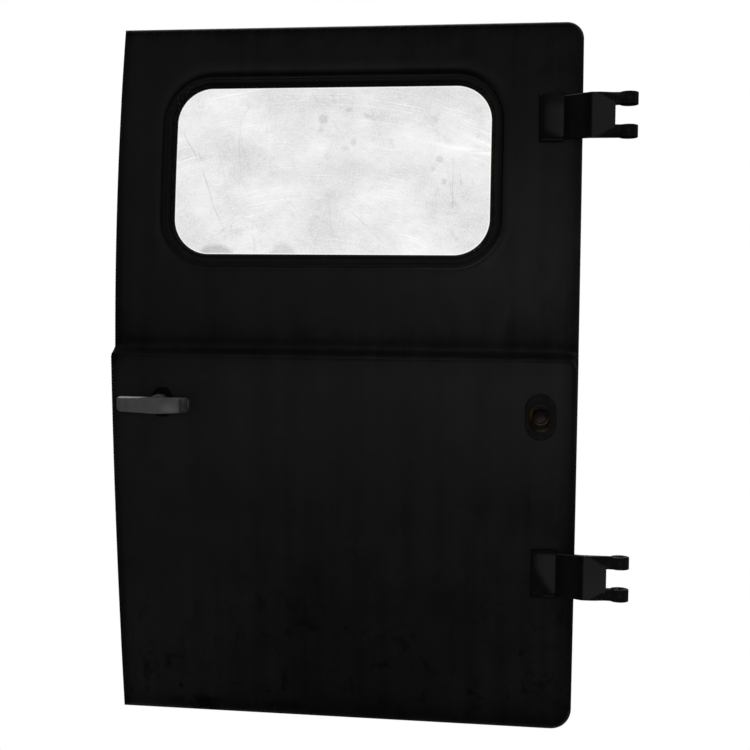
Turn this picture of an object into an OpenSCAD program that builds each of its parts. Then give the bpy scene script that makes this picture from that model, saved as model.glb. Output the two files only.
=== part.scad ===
// Rear barn door leaf of a van turned camper, seen from outside.
// The leaf is a curved pressed steel shell with a raised lower half, a rubber-set window,
// two cranked hinge straps on the right edge, a turning T handle on the left
// and a hold-back socket near the hinge edge.
// Frame: the hinge axis is Z, with the origin on the underside of the lower hinge's
// upper knuckle. X runs from the meeting edge towards the hinges, Y runs into the van.

/* [Leaf] */
// Width of the leaf, meeting edge to hinge edge
leaf_w = 827; // [700:1:950]
// Height of the leaf
leaf_h = 1250; // [1100:5:1400]
// Thickness of the outer sheet
skin_t = 1.5; // [1:0.1:3]
// Depth of the turned edge of the outer sheet
edge_d = 18; // [12:1:26]
// Corner radius at the top of the hinge edge
corner_top = 30; // [10:1:60]
// Corner radius at the bottom of the hinge edge
corner_low = 37; // [10:1:60]
// Radius of the rolled outer edges
edge_r = 4; // [1:0.5:8]
// Gap between fitted pieces
seat_gap = 0.3; // [0.2:0.05:0.5]

/* [Side profile] */
// Height of the top of the waist shoulder above the bottom edge
waist_up = 675; // [640:1:700]
// Height of the waist shoulder itself
waist_h = 19; // [12:1:30]
// Y of the face at the bottom edge
face_bottom = 66; // [50:1:90]
// Y of the face at the foot of the waist shoulder
face_low = -21; // [-30:0.5:0]
// Y of the face at the top of the waist shoulder
face_up = 0.5; // [-15:0.5:10]
// Y of the face at the top edge
face_top = 47.4; // [20:0.1:60]
// Bow of the lower half between its ends
bow_low = 8.5; // [2:0.1:20]
// Bow of the upper half between its ends
bow_up = 15.7; // [2:0.1:30]
// Width of the strip where the raised lower half falls back to the hinge edge
fall_w = 15; // [8:1:30]
// How far it falls back there at the waist
fall_up = 17; // [5:1:25]
// How far it falls back there at the bottom
fall_low = 6; // [2:1:20]

/* [Window] */
// Distance from the meeting edge to the clear glass
win_left = 106.3; // [90:0.1:160]
// Distance from the hinge edge to the clear glass
win_right = 154.7; // [120:0.1:200]
// Distance from the top edge to the clear glass
win_top = 110; // [90:0.5:140]
// Distance from the top of the waist to the clear glass
win_low = 164; // [120:0.5:200]
// Corner radius of the clear glass
win_r = 65; // [40:1:100]
// Width of the rubber seen round the glass
seal_w = 17; // [12:0.5:22]
// Glass thickness
glass_t = 5; // [3:0.5:6]

/* [Inner frame] */
// Depth of the upper inner panel behind the face
inner_up = 38; // [30:1:50]
// Wall of the rails and inner panels
rail_t = 1.5; // [1:0.1:3]
// Inset of the frame from the leaf edge
frame_in = 18; // [10:1:30]
// Width of the latch stile
latch_stile_w = 48; // [40:1:60]
// Width of the hinge stile
hinge_stile_w = 70; // [50:1:90]
// Height of the bottom rail
bottom_rail_h = 60; // [40:1:90]
// Height of the top rail
top_rail_h = 44; // [30:1:60]
// Height of the waist rail
waist_rail_h = 60; // [40:1:90]
// Margin between an access opening and the frame's edge
access_in = 92; // [80:1:140]
// Web between the two access openings
access_web = 70; // [40:1:120]
// Corner radius of the access openings
access_r = 50; // [20:1:80]

/* [Hinges] */
// Distance from the leaf edge to the hinge axis
axis_out = 76; // [60:1:100]
// Distance from the top edge to the underside of the upper hinge's upper knuckle
hinge_top = 153.5; // [120:0.5:250]
// Height of the origin above the bottom edge
origin_up = 305; // [250:1:400]
// Knuckle diameter
knuckle_d = 32; // [24:1:40]
// Knuckle height
knuckle_h = 21; // [15:1:30]
// Height of the gap between the knuckles
slot_h = 34.4; // [20:0.2:50]
// Diameter of the pin hole in the bushes
pin_hole = 12; // [8:0.5:16]
// Wall of the bushes
bush_t = 2; // [1:0.5:3]
// Distance from the hinge axis to the back of the gap
slot_back = 22.6; // [18:0.2:30]
// Thickness of the strap arms
arm_t = 14; // [8:1:18]
// How far the arms lie behind the front of the knuckles
arm_back = 6; // [0:0.5:10]
// Thickness of the strap plate
plate_t = 4.5; // [3:0.5:8]
// Width of the strap plate
plate_w = 42; // [30:1:60]
// How far the plate stands past the strap, above and below
plate_more = 4; // [0:0.5:10]
// Width of the cranked part of the strap
crank_w = 44; // [30:0.5:60]
// Distance from the leaf edge to the bend of the strap
bend_in = 32; // [20:0.5:50]

/* [Handle] */
// Distance from the meeting edge to the handle spindle
handle_in = 95; // [85:1:130]
// Distance from the top of the waist down to the spindle
handle_down = 99.2; // [70:0.1:160]
// Length of the grip
grip_w = 134; // [100:1:150]
// How far the middle of the grip lies to the meeting-edge side of the spindle
grip_off = 6.5; // [0:0.5:8]
// Height of the grip in the middle
grip_h = 29; // [20:0.5:40]
// Height of the grip near its ends
grip_end_h = 25; // [15:1:35]
// Thickness of the grip
grip_t = 17; // [12:1:24]
// Distance from the door face to the front of the grip
grip_out = 45; // [35:1:60]
// Diameter of the hub behind the grip
hub_d = 34; // [24:1:40]
// Distance from the door face to the back of the hub
hub_back = 12; // [9:0.5:16]
// Diameter of the stem
stem_d = 19; // [14:1:24]
// Width of the escutcheon
rose_w = 38; // [34:1:50]
// Height of the escutcheon
rose_h = 52; // [44:1:60]
// Spindle size across its flats
spindle_w = 9; // [7:0.5:12]

/* [Latch] */
// Height of the latch case
case_h = 80; // [60:1:110]
// Width of the latch case
case_w = 52; // [46:1:80]
// Wall of the latch case
case_t = 2; // [1:0.5:3]
// Height of the tongue
tongue_h = 20; // [12:1:30]
// Thickness of the tongue
tongue_t = 14; // [8:1:18]
// How far the tongue stands out of the stile
tongue_out = 12; // [5:1:16]

/* [Hold-back socket] */
// Distance from the hinge edge to the socket
catch_in = 62.7; // [40:0.1:90]
// Distance from the top of the waist down to the socket
catch_down = 112; // [80:1:180]
// Width of the oval plate
catch_w = 53; // [44:1:70]
// Height of the oval plate
catch_h = 80; // [60:1:100]
// Width of the oval ring
ring_w = 39; // [34:1:50]
// Height of the oval ring
ring_h = 50; // [44:1:60]
// Diameter of the socket inside the ring
cup_d = 26; // [20:1:30]

/* [Hidden] */
$fn = 96;
x_left = -(leaf_w + axis_out);
x_right = -axis_out;
z_low = -origin_up;
z_high = leaf_h - origin_up;
z_wu = waist_up - origin_up;
z_wl = z_wu - waist_h;
far = leaf_w + leaf_h;
win_w = leaf_w - win_left - win_right;
win_h = leaf_h - waist_up - win_top - win_low;
win_x = x_left + win_left;
win_z = z_wu + win_low;
inner_low = inner_up + face_up - face_low;
hinge_span = z_high - hinge_top;
z_hinge = [-slot_h / 2, hinge_span - slot_h / 2];
ear_h = slot_h + 2 * knuckle_h;

// An arc from p to q that bows towards -Y by s: radius and centre
function chord(p, q) = norm(q - p);
function arc_r(p, q, s) = (chord(p, q) * chord(p, q) / 4 + s * s) / (2 * s);
function arc_n(p, q) = [(q - p)[1], -(q - p)[0]] / chord(p, q);
function arc_c(p, q, s) = (p + q) / 2 + arc_n(p, q) * (arc_r(p, q, s) - s);
low_p = [face_bottom, z_low];
low_q = [face_low, z_wl];
up_p = [face_up, z_wu];
up_q = [face_top, z_high];
low_r = arc_r(low_p, low_q, bow_low);
low_c = arc_c(low_p, low_q, bow_low);
up_r = arc_r(up_p, up_q, bow_up);
up_c = arc_c(up_p, up_q, bow_up);

// Y of the outer face at height z, and how far it leans there in degrees
function low_y(z, d = 0) = low_c[0] - sqrt((low_r - d) * (low_r - d) - (z - low_c[1]) * (z - low_c[1]));
function up_y(z, d = 0) = up_c[0] - sqrt((up_r - d) * (up_r - d) - (z - up_c[1]) * (z - up_c[1]));
function face_y(z) = z < z_wu ? low_y(z) : up_y(z);
function face_lean(z) = z < z_wu ? asin((low_c[1] - z) / low_r) : asin((up_c[1] - z) / up_r);

// Shoulder between the two halves, an S made of short straights
shoulder_n = 8;
function blend(t) = (1 - cos(180 * t)) / 2;
function shoulder(d) = [
    for (i = [0 : shoulder_n])
        let (t = i / shoulder_n)
        [low_y(z_wl) + d + (up_y(z_wu) - low_y(z_wl)) * blend(t), z_wl + (z_wu - z_wl) * t - 0.35 * d]
];

// Everything behind the face by more than d, drawn in the Y-Z plane as short straights
low_n = 18;
up_n = 22;
module behind(d) {
    polygon(concat(
        [for (i = [0 : low_n - 1]) let (z = z_low + (z_wl - z_low) * i / low_n) [low_y(z, d), z]],
        shoulder(d),
        [for (i = [1 : up_n]) let (z = z_wu + (z_high - z_wu) * i / up_n) [up_y(z, d), z]],
        [[far, z_high], [far, z_low]]
    ));
}

// The same for the upper arc alone, carried down past the waist
module behind_up(d) {
    intersection() {
        translate(up_c) circle(r = up_r - d, $fn = 1080);
        translate([-far, z_low]) square([2 * far, leaf_h]);
    }
}

module behind_low(d) {
    intersection() {
        translate(low_c) circle(r = low_r - d, $fn = 1440);
        translate([-far, z_low]) square([2 * far, leaf_h]);
    }
}

// A layer between depths a and b behind the face, from x0 to x1
module layer(x0, x1, a, b) {
    translate([x0, 0, 0]) rotate([90, 0, 90]) linear_extrude(x1 - x0)
        difference() {
            behind(a);
            behind(b);
        }
}

module layer_up(x0, x1, a, b) {
    translate([x0, 0, 0]) rotate([90, 0, 90]) linear_extrude(x1 - x0)
        difference() {
            behind_up(a);
            behind_up(b);
        }
}

module layer_low(x0, x1, a, b) {
    translate([x0, 0, 0]) rotate([90, 0, 90]) linear_extrude(x1 - x0)
        difference() {
            behind_low(a);
            behind_low(b);
        }
}

// A flat shape in X-Z pushed through the whole leaf along Y
module through() {
    translate([0, far, 0]) rotate([90, 0, 0]) linear_extrude(2 * far) children();
}

module rounded(w, h, r) {
    translate([r, 0]) square([w - 2 * r, h]);
    translate([0, r]) square([w, h - 2 * r]);
    for (x = [r, w - r], y = [r, h - r]) translate([x, y]) circle(r = r);
}

// The outline of the leaf, drawn in by i
module outline(i) {
    a = corner_top - i;
    b = corner_low - i;
    x0 = x_left + i;
    x1 = x_right - i;
    z0 = z_low + i;
    z1 = z_high - i;
    difference() {
        translate([x0, z0]) square([x1 - x0, z1 - z0]);
        translate([x1 - a, z1 - a]) square([a + 1, a + 1]);
        translate([x1 - b, z0 - 1]) square([b + 1, b + 1]);
    }
    translate([x1 - a, z1 - a]) circle(r = a);
    translate([x1 - b, z0 + b]) circle(r = b);
}

// The window outline, o outside the clear glass
module window_shape(o) {
    translate([win_x - o, win_z - o])
        rounded(win_w + 2 * o, win_h + 2 * o, win_r + o);
}

module window_ring(o0, o1) {
    through() difference() {
        window_shape(o1);
        window_shape(o0);
    }
}

// Puts children on the face at x and z, square to it, -Y outwards
module on_face(x, z) {
    translate([x, face_y(z), z]) rotate([face_lean(z), 0, 0]) children();
}

handle_x = x_left + handle_in;
handle_z = z_wu - handle_down;
catch_x = x_right - catch_in;
catch_z = z_wu - catch_down;

// A round bar along Y from y0 to y1
module bar_y(d, y0, y1) {
    translate([0, y1, 0]) rotate([90, 0, 0]) cylinder(d = d, h = y1 - y0);
}

glass_edge = 7;
skin_edge = 10;
lip_in = seal_w + 6;
lip_w = 11;
reveal_o = 34;
panel_gap = inner_up;

// The outer face as a grid of points: x and z lines gather where it rolls or falls back
roll_steps = [0, 0.15, 0.4, 0.7, 1];
fall_steps = [0, 0.06, 0.18, 0.34, 0.5, 0.66, 0.83, 1];
shoulder_r = 18;
function quarter(e, w, h) = e >= w ? 0 : h * (1 - sqrt(1 - (1 - e / w) * (1 - e / w)));
face_xs = concat(
    [for (t = roll_steps) x_left + t * edge_r],
    [x_right - fall_w - 12, x_right - fall_w - 5],
    [for (i = [len(fall_steps) - 1 : -1 : 0]) x_right - fall_steps[i] * fall_w]
);
// The shoulder bends down where it meets the hinge edge
function dip(x) =
    let (e = shoulder_r - max(0, min(shoulder_r, x_right - 4 - x)))
    shoulder_r - sqrt(shoulder_r * shoulder_r - e * e);
function fall_at(z) = z >= z_wu ? edge_r : fall_low + (fall_up - fall_low) * min(1, (z - z_low) / (z_wl - z_low));
function fall_width(z) = z >= z_wu ? edge_r * 1.5 : fall_w;
function edges_y(x, z) =
    quarter(x - x_left, edge_r, edge_r) + quarter(z_high - z, edge_r, edge_r) + quarter(z - z_low, edge_r, edge_r);
function row_point(x, z, y) = [x, y + edges_y(x, z) + quarter(x_right - x, fall_width(z), fall_at(z)), z];
function shoulder_point(x, i) =
    let (t = i / shoulder_n, z0 = z_wl - dip(x), z = z0 + (z_wu - dip(x) * 0.4 - z0) * t,
        ya = low_y(z0) + quarter(x_right - x, fall_w, fall_up), yb = up_y(z_wu) + quarter(x_right - x, edge_r * 1.5, edge_r))
    [x, ya + (yb - ya) * blend(t) + quarter(x - x_left, edge_r, edge_r), z];
function column(x) = concat(
    [for (t = roll_steps) let (z = z_low + t * edge_r) row_point(x, z, low_y(z))],
    [for (i = [1 : low_n]) let (z = z_low + edge_r + (z_wl - dip(x) - 1 - z_low - edge_r) * i / low_n) row_point(x, z, low_y(z))],
    [for (i = [0 : shoulder_n]) shoulder_point(x, i)],
    [for (i = [0 : up_n]) let (z = z_wu + 1 + (z_high - edge_r - z_wu - 1) * i / up_n) row_point(x, z, up_y(z))],
    [for (i = [len(roll_steps) - 2 : -1 : 0]) let (z = z_high - roll_steps[i] * edge_r) row_point(x, z, up_y(z))]
);

// Everything behind the pressed face, moved back by d
module pressed(d) {
    grid = [for (x = face_xs) column(x)];
    nx = len(grid);
    nz = len(grid[0]);
    m = nx * nz;
    back = far / 4 + d;
    last = (nx - 1) * nz;
    points = concat(
        [for (c = grid) for (p = c) [p[0], p[1] + d, p[2]]],
        [for (p = grid[0]) [p[0], back, p[2]]],
        [for (p = grid[nx - 1]) [p[0], back, p[2]]]
    );
    faces = concat(
        [for (i = [0 : nx - 2], j = [0 : nz - 2]) each [
            [i * nz + j, i * nz + j + 1, (i + 1) * nz + j + 1],
            [i * nz + j, (i + 1) * nz + j + 1, (i + 1) * nz + j]
        ]],
        [for (j = [0 : nz - 2]) each [
            [j, m + j + 1, j + 1],
            [j, m + j, m + j + 1],
            [last + j, last + j + 1, m + nz + j + 1],
            [last + j, m + nz + j + 1, m + nz + j],
            [m + j, m + nz + j, m + nz + j + 1],
            [m + j, m + nz + j + 1, m + j + 1]
        ]],
        [concat([m + nz, m], [for (i = [0 : nx - 1]) i * nz])],
        [concat([m + nz - 1, m + 2 * nz - 1], [for (i = [nx - 1 : -1 : 0]) i * nz + nz - 1])]
    );
    polyhedron(points, faces, convexity = 6);
}

module outer_skin() {
    color([0.07, 0.07, 0.07]) difference() {
        union() {
            difference() {
                intersection() {
                    pressed(0);
                    through() outline(0);
                }
                intersection() {
                    pressed(skin_t);
                    through() outline(skin_t);
                }
                translate([x_left - 1, 0, 0]) rotate([90, 0, 90])
                    linear_extrude(leaf_w + 2) behind(edge_d);
            }
            intersection() {
                layer_up(win_x - 60, win_x + win_w + 60, -2.5, 0.8);
                window_ring(lip_in, lip_in + lip_w);
            }
        }
        through() window_shape(skin_edge);
        on_face(handle_x, handle_z) bar_y(stem_d + 1, -20, 20);
        on_face(catch_x, catch_z) bar_y(cup_d + 6, -20, 20);
    }
}

// A channel open towards the skin, between two X and two Z limits
module channel(x0, x1, z0, z1, depth, upper) {
    t = rail_t;
    intersection() {
        if (upper) layer_up(x0, x1, skin_t + seat_gap, depth);
        else layer_low(x0, x1, skin_t + seat_gap, depth);
        translate([x0, -far, z0]) cube([x1 - x0, 2 * far, z1 - z0]);
    }
}

module top_rail() {
    x0 = x_left + frame_in + latch_stile_w + seat_gap;
    x1 = x_right - frame_in - hinge_stile_w - seat_gap;
    z1 = z_high - frame_in;
    z0 = z1 - top_rail_h;
    color([0.08, 0.08, 0.08]) difference() {
        channel(x0, x1, z0, z1, inner_up - seat_gap, true);
        intersection() {
            layer_up(x0 - 1, x1 + 1, 0, inner_up - seat_gap - rail_t);
            translate([x0 - 1, -far, z0 + rail_t]) cube([x1 - x0 + 2, 2 * far, z1 - z0 - 2 * rail_t]);
        }
    }
}

module waist_rail() {
    x0 = x_left + frame_in + latch_stile_w + seat_gap;
    x1 = x_right - frame_in - hinge_stile_w - seat_gap;
    z0 = z_wu + 8;
    z1 = z0 + waist_rail_h;
    color([0.08, 0.08, 0.08]) difference() {
        channel(x0, x1, z0, z1, inner_up - seat_gap, true);
        intersection() {
            layer_up(x0 - 1, x1 + 1, 0, inner_up - seat_gap - rail_t);
            translate([x0 - 1, -far, z0 + rail_t]) cube([x1 - x0 + 2, 2 * far, z1 - z0 - 2 * rail_t]);
        }
    }
}

module bottom_rail() {
    x0 = x_left + frame_in + latch_stile_w + seat_gap;
    x1 = x_right - frame_in - hinge_stile_w - seat_gap;
    z0 = z_low + frame_in;
    z1 = z0 + bottom_rail_h;
    color([0.08, 0.08, 0.08]) difference() {
        channel(x0, x1, z0, z1, inner_low - seat_gap, false);
        intersection() {
            layer_low(x0 - 1, x1 + 1, 0, inner_low - seat_gap - rail_t);
            translate([x0 - 1, -far, z0 + rail_t]) cube([x1 - x0 + 2, 2 * far, z1 - z0 - 2 * rail_t]);
        }
    }
}

// A stile: the space between the skin and the inner panels, hollowed out
module stile_body(x0, x1) {
    g = seat_gap;
    z0 = z_low + frame_in;
    z1 = z_high - frame_in;
    difference() {
        intersection() {
            translate([x0, 0, 0]) rotate([90, 0, 90]) linear_extrude(x1 - x0) difference() {
                behind(skin_t + g);
                inside(g);
            }
            translate([x0, -far, z0]) cube([x1 - x0, 2 * far, z1 - z0]);
        }
        intersection() {
            translate([x0 + rail_t, 0, 0]) rotate([90, 0, 90]) linear_extrude(x1 - x0 - 2 * rail_t)
                difference() {
                    behind(0);
                    inside(g + rail_t);
                }
            translate([x0, -far, z0 + rail_t]) cube([x1 - x0, 2 * far, z1 - z0 - 2 * rail_t]);
        }
    }
}

// What lies behind the inner panels, drawn forward by g
module inside(g) {
    intersection() {
        behind_up(inner_up - g);
        translate([-far, z_wl]) square([2 * far, z_high - z_wl]);
    }
    intersection() {
        behind_low(inner_low - g);
        translate([-far, z_low]) square([2 * far, z_wl - z_low]);
    }
}

module latch_stile() {
    x0 = x_left + frame_in;
    color([0.08, 0.08, 0.08]) difference() {
        intersection() {
            stile_body(x0, x0 + latch_stile_w);
            through() outline(frame_in);
        }
        on_face(handle_x, handle_z)
            translate([-handle_in, tongue_y - seat_gap, -tongue_h / 2 - seat_gap])
            cube([handle_in, tongue_t + 2 * seat_gap, tongue_h + 2 * seat_gap]);
    }
}

module hinge_stile() {
    x1 = x_right - frame_in;
    color([0.08, 0.08, 0.08]) difference() {
        intersection() {
            stile_body(x1 - hinge_stile_w, x1);
            translate([x1 - hinge_stile_w, -far, z_low + frame_in])
                cube([hinge_stile_w, 2 * far, leaf_h - 2 * frame_in]);
        }
        on_face(catch_x, catch_z) bar_y(cup_d + 8, -5, 30);
    }
}

module upper_inner_panel() {
    x0 = x_left + frame_in;
    x1 = x_right - frame_in;
    color([0.09, 0.09, 0.09]) difference() {
        intersection() {
            layer_up(x0, x1, inner_up, inner_up + rail_t);
            translate([x0, -far, z_wl + seat_gap]) cube([x1 - x0, 2 * far, z_high - z_wl - frame_in]);
            through() outline(frame_in);
        }
        through() window_shape(reveal_o);
    }
}

module lower_inner_panel() {
    x0 = x_left + frame_in;
    x1 = x_right - frame_in;
    z0 = z_low + frame_in;
    ow = (leaf_w - 2 * frame_in - 2 * access_in - access_web) / 2;
    oz = z0 + access_in;
    oh = z_wl - 1.7 * access_in - oz;
    color([0.09, 0.09, 0.09]) difference() {
        intersection() {
            layer_low(x0, x1, inner_low, inner_low + rail_t);
            translate([x0, -far, z0]) cube([x1 - x0, 2 * far, z_wl - seat_gap - z0]);
            through() outline(frame_in);
        }
        through() for (x = [x0 + access_in, x0 + access_in + ow + access_web])
            translate([x, oz]) rounded(ow, oh, access_r);
    }
}

module window_reveal() {
    color([0.09, 0.09, 0.09]) {
        intersection() {
            layer_up(x_left, x_right, skin_t + seat_gap, skin_t + seat_gap + rail_t);
            window_ring(skin_edge, reveal_o);
        }
        intersection() {
            layer_up(x_left, x_right, skin_t + seat_gap, inner_up + rail_t);
            window_ring(reveal_o - 2 * seat_gap - rail_t, reveal_o - 2 * seat_gap);
        }
    }
}

glass_front = 1.5;
glass_back = glass_front + glass_t;
metal_back = skin_t + seat_gap + rail_t;
module window_seal() {
    g = seat_gap;
    color([0.05, 0.05, 0.05]) difference() {
        union() {
            intersection() {
                layer_up(x_left, x_right, -4.5, -g);
                window_ring(0, seal_w);
            }
            intersection() {
                layer_up(x_left, x_right, -g - 1, glass_front - g);
                window_ring(0, skin_edge - g);
            }
            intersection() {
                layer_up(x_left, x_right, -g - 1, glass_back + 4);
                window_ring(glass_edge + g, skin_edge - g);
            }
            intersection() {
                layer_up(x_left, x_right, glass_back + g, glass_back + 4);
                window_ring(0, seal_w - 3);
            }
            intersection() {
                layer_up(x_left, x_right, metal_back + g, glass_back + 4);
                window_ring(glass_edge + g, seal_w - 3);
            }
        }
        intersection() {
            layer_up(x_left, x_right, -6, -2.2);
            window_ring(4.2, 13.3);
        }
    }
}

module seal_filler_strip() {
    color([0.09, 0.09, 0.09]) intersection() {
        layer_up(x_left, x_right, -5, -2.5);
        window_ring(4.5, 13);
    }
}

module window_glass() {
    color([0.85, 0.86, 0.86, 0.6]) intersection() {
        layer_up(x_left, x_right, glass_front, glass_back);
        through() window_shape(glass_edge);
    }
}

// One hinge strap: plate on the face, cranked part, and a fork with two knuckles
bend_x = x_right - bend_in;
plate_x = bend_x - plate_w;
flat_x = bend_x + crank_w;
arm_y = -knuckle_d / 2 + arm_back;
module on_plate(i, x0, x1, a, b, more) {
    intersection() {
        if (i == 0) layer_low(x0, x1, a, b);
        else layer_up(x0, x1, a, b);
        translate([x0, -far, z_hinge[i] - ear_h / 2 - more]) cube([x1 - x0, 2 * far, ear_h + 2 * more]);
    }
}

module hinge_strap(i) {
    z0 = z_hinge[i] - ear_h / 2;
    color([0.1, 0.1, 0.1]) difference() {
        union() {
            on_plate(i, plate_x, bend_x, -seat_gap - plate_t, -seat_gap, plate_more);
            hull() {
                on_plate(i, bend_x - 2, bend_x, -seat_gap - plate_t, -seat_gap, 0);
                translate([flat_x - 1, arm_y, z0]) cube([1, arm_t, ear_h]);
            }
            translate([flat_x - 1, arm_y, z0]) cube([1 - flat_x, arm_t, ear_h]);
            for (z = [z0, z0 + knuckle_h + slot_h])
                translate([0, 0, z]) cylinder(d = knuckle_d, h = knuckle_h);
        }
        translate([-slot_back, -far, z0 + knuckle_h]) cube([far, 2 * far, slot_h]);
        translate([0, 0, z0 - 1]) cylinder(d = pin_hole + 2 * bush_t, h = ear_h + 2);
    }
}

module upper_hinge_strap() {
    hinge_strap(1);
}

module lower_hinge_strap() {
    hinge_strap(0);
}

module hinge_bushes(i) {
    z0 = z_hinge[i] - ear_h / 2;
    color([0.2, 0.19, 0.17]) for (z = [z0, z0 + knuckle_h + slot_h])
        translate([0, 0, z]) difference() {
            cylinder(d = pin_hole + 2 * bush_t, h = knuckle_h);
            translate([0, 0, -1]) cylinder(d = pin_hole, h = knuckle_h + 2);
        }
}

module upper_hinge_bushes() {
    hinge_bushes(1);
}

module lower_hinge_bushes() {
    hinge_bushes(0);
}

module hinge_backing_plates() {
    t = skin_t + seat_gap;
    color([0.12, 0.12, 0.12]) for (i = [0, 1])
        on_plate(i, plate_x, bend_x, t, t + 4, 0);
}

// The escutcheon seen from the front, an upright oblong with slanted corners
module rose() {
    a = rose_w / 2;
    b = rose_h / 2;
    c = a * 0.52;
    d = b * 0.4;
    polygon([[-c, -b], [c, -b], [a, -d], [a, d], [c, b], [-c, b], [-a, d], [-a, -d]]);
}

module handle_escutcheon() {
    color([0.05, 0.05, 0.05]) on_face(handle_x, handle_z) difference() {
        union() {
            translate([0, -seat_gap, 0]) rotate([90, 0, 0]) linear_extrude(4) rose();
            bar_y(stem_d + 9, -8, -seat_gap);
        }
        bar_y(stem_d + 0.1, -20, 1);
    }
}

// The grip seen from the front, centred on the spindle
module grip_front() {
    a = -grip_w / 2 - grip_off;
    b = grip_w / 2 - grip_off;
    e = grip_end_h;
    top = e / 2 + 1;
    polygon([
        [a + 4, top], [b - 6, top], [b - 1.8, top - 1.8], [b, top - 6], [b, top - e + 6],
        [b - 1.8, top - e + 1.8], [b - 6, top - e], [b - 28, top - e - (grip_h - e) * 0.5],
        [12, top - grip_h + 0.4], [0, top - grip_h], [-14, top - grip_h + 0.4],
        [a + 28, top - e - (grip_h - e) * 0.4], [a + 6, top - e], [a + 1.8, top - e + 1.8],
        [a, top - e + 6], [a, top - 4], [a + 1.2, top - 1.2]
    ]);
}

// The grip seen from above: ends curl back towards the door
module grip_plan() {
    a = -grip_w / 2 - grip_off;
    b = grip_w / 2 - grip_off;
    r = grip_t - 3;
    f = -grip_out;
    translate([a + r, f]) square([b - a - 2 * r, grip_t]);
    for (k = [0, 1]) intersection() {
        translate([k == 0 ? a + r : b - r, f + r]) circle(r = r);
        translate([k == 0 ? a : b - r, f]) square([r, grip_t]);
    }
}

module handle_grip() {
    color([0.3, 0.3, 0.3]) on_face(handle_x, handle_z) difference() {
        union() {
            intersection() {
                translate([0, 0, -grip_h]) linear_extrude(2 * grip_h) grip_plan();
                translate([0, grip_out + 10, 0]) rotate([90, 0, 0]) linear_extrude(2 * grip_out + 20) grip_front();
            }
            bar_y(hub_d, -grip_out + grip_t - 4, -hub_back);
            bar_y(stem_d, -grip_out + grip_t, 4);
        }
        translate([-spindle_w / 2 - 0.1, -16, -spindle_w / 2 - 0.1]) cube([spindle_w + 0.2, 30, spindle_w + 0.2]);
    }
}

module handle_spindle() {
    color([0.35, 0.33, 0.3]) on_face(handle_x, handle_z)
        translate([-spindle_w / 2, -15.8, -spindle_w / 2]) cube([spindle_w, 54, spindle_w]);
}

module spindle_follower() {
    color([0.35, 0.33, 0.3]) on_face(handle_x, handle_z) difference() {
        bar_y(21, 14.5, 38.5);
        translate([-spindle_w / 2, 0, -spindle_w / 2]) cube([spindle_w, 60, spindle_w]);
    }
}

case_front = 14;
case_back = case_front + 26;
tongue_y = case_front + 8;
case_x = frame_in + latch_stile_w + seat_gap - handle_in;
module tongue_slot(x, w) {
    translate([x, tongue_y - seat_gap, -tongue_h / 2 - seat_gap])
        cube([w, tongue_t + 2 * seat_gap, tongue_h + 2 * seat_gap]);
}

module latch_case() {
    color([0.15, 0.15, 0.15]) on_face(handle_x, handle_z) difference() {
        translate([case_x, case_front, -case_h / 2]) cube([case_w, case_back - case_front, case_h]);
        translate([case_x + case_t, case_front + case_t, -case_h / 2 + case_t])
            cube([case_w - 2 * case_t, case_back - case_front - 2 * case_t, case_h - 2 * case_t]);
        bar_y(21.3, 0, 60);
        tongue_slot(case_x - 1, case_t + 2);
    }
}

module latch_tongue() {
    x0 = frame_in - tongue_out - handle_in;
    color([0.4, 0.4, 0.38]) on_face(handle_x, handle_z)
        translate([x0, tongue_y, -tongue_h / 2]) cube([case_x + case_t + 8 - x0, tongue_t, tongue_h]);
}

module latch_faceplate() {
    x0 = frame_in - seat_gap - 2.5 - handle_in;
    color([0.35, 0.34, 0.32]) on_face(handle_x, handle_z) difference() {
        translate([x0, tongue_y - 4, -case_h / 2 - 5]) cube([2.5, tongue_t + 8, case_h + 10]);
        tongue_slot(x0 - 1, 5);
    }
}

module oval(w, h) {
    translate([-w / 2, -(h - w) / 2]) square([w, h - w]);
    for (s = [-1, 1]) translate([0, s * (h - w) / 2]) circle(d = w);
}

module catch_plate() {
    color([0.05, 0.05, 0.05]) on_face(catch_x, catch_z)
        translate([0, -seat_gap, 0]) rotate([90, 0, 0]) linear_extrude(2.5)
        difference() {
            oval(catch_w, catch_h);
            circle(d = cup_d + 4.6);
        }
}

module catch_ring() {
    y = -2.5 - 2 * seat_gap;
    color([0.45, 0.22, 0.08]) on_face(catch_x, catch_z)
        translate([0, y, 0]) rotate([90, 0, 0]) difference() {
            linear_extrude(4) oval(ring_w, ring_h);
            translate([0, 0, -1]) linear_extrude(6) oval(cup_d + 2.2, ring_h - ring_w + cup_d + 2.2);
        }
}

module catch_cup() {
    color([0.3, 0.28, 0.27]) on_face(catch_x, catch_z) difference() {
        bar_y(cup_d + 1.4, -5, 16);
        bar_y(cup_d - 4, -6, 12);
    }
}

outer_skin();
top_rail();
waist_rail();
bottom_rail();
latch_stile();
hinge_stile();
upper_inner_panel();
lower_inner_panel();
window_reveal();
window_seal();
seal_filler_strip();
window_glass();
upper_hinge_strap();
lower_hinge_strap();
upper_hinge_bushes();
lower_hinge_bushes();
hinge_backing_plates();
handle_escutcheon();
handle_grip();
handle_spindle();
spindle_follower();
latch_case();
latch_tongue();
latch_faceplate();
catch_plate();
catch_ring();
catch_cup();
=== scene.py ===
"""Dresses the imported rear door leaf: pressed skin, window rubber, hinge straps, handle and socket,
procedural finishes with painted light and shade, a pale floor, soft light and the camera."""
import bpy
import math
from mathutils import Matrix, Vector, geometry


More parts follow.
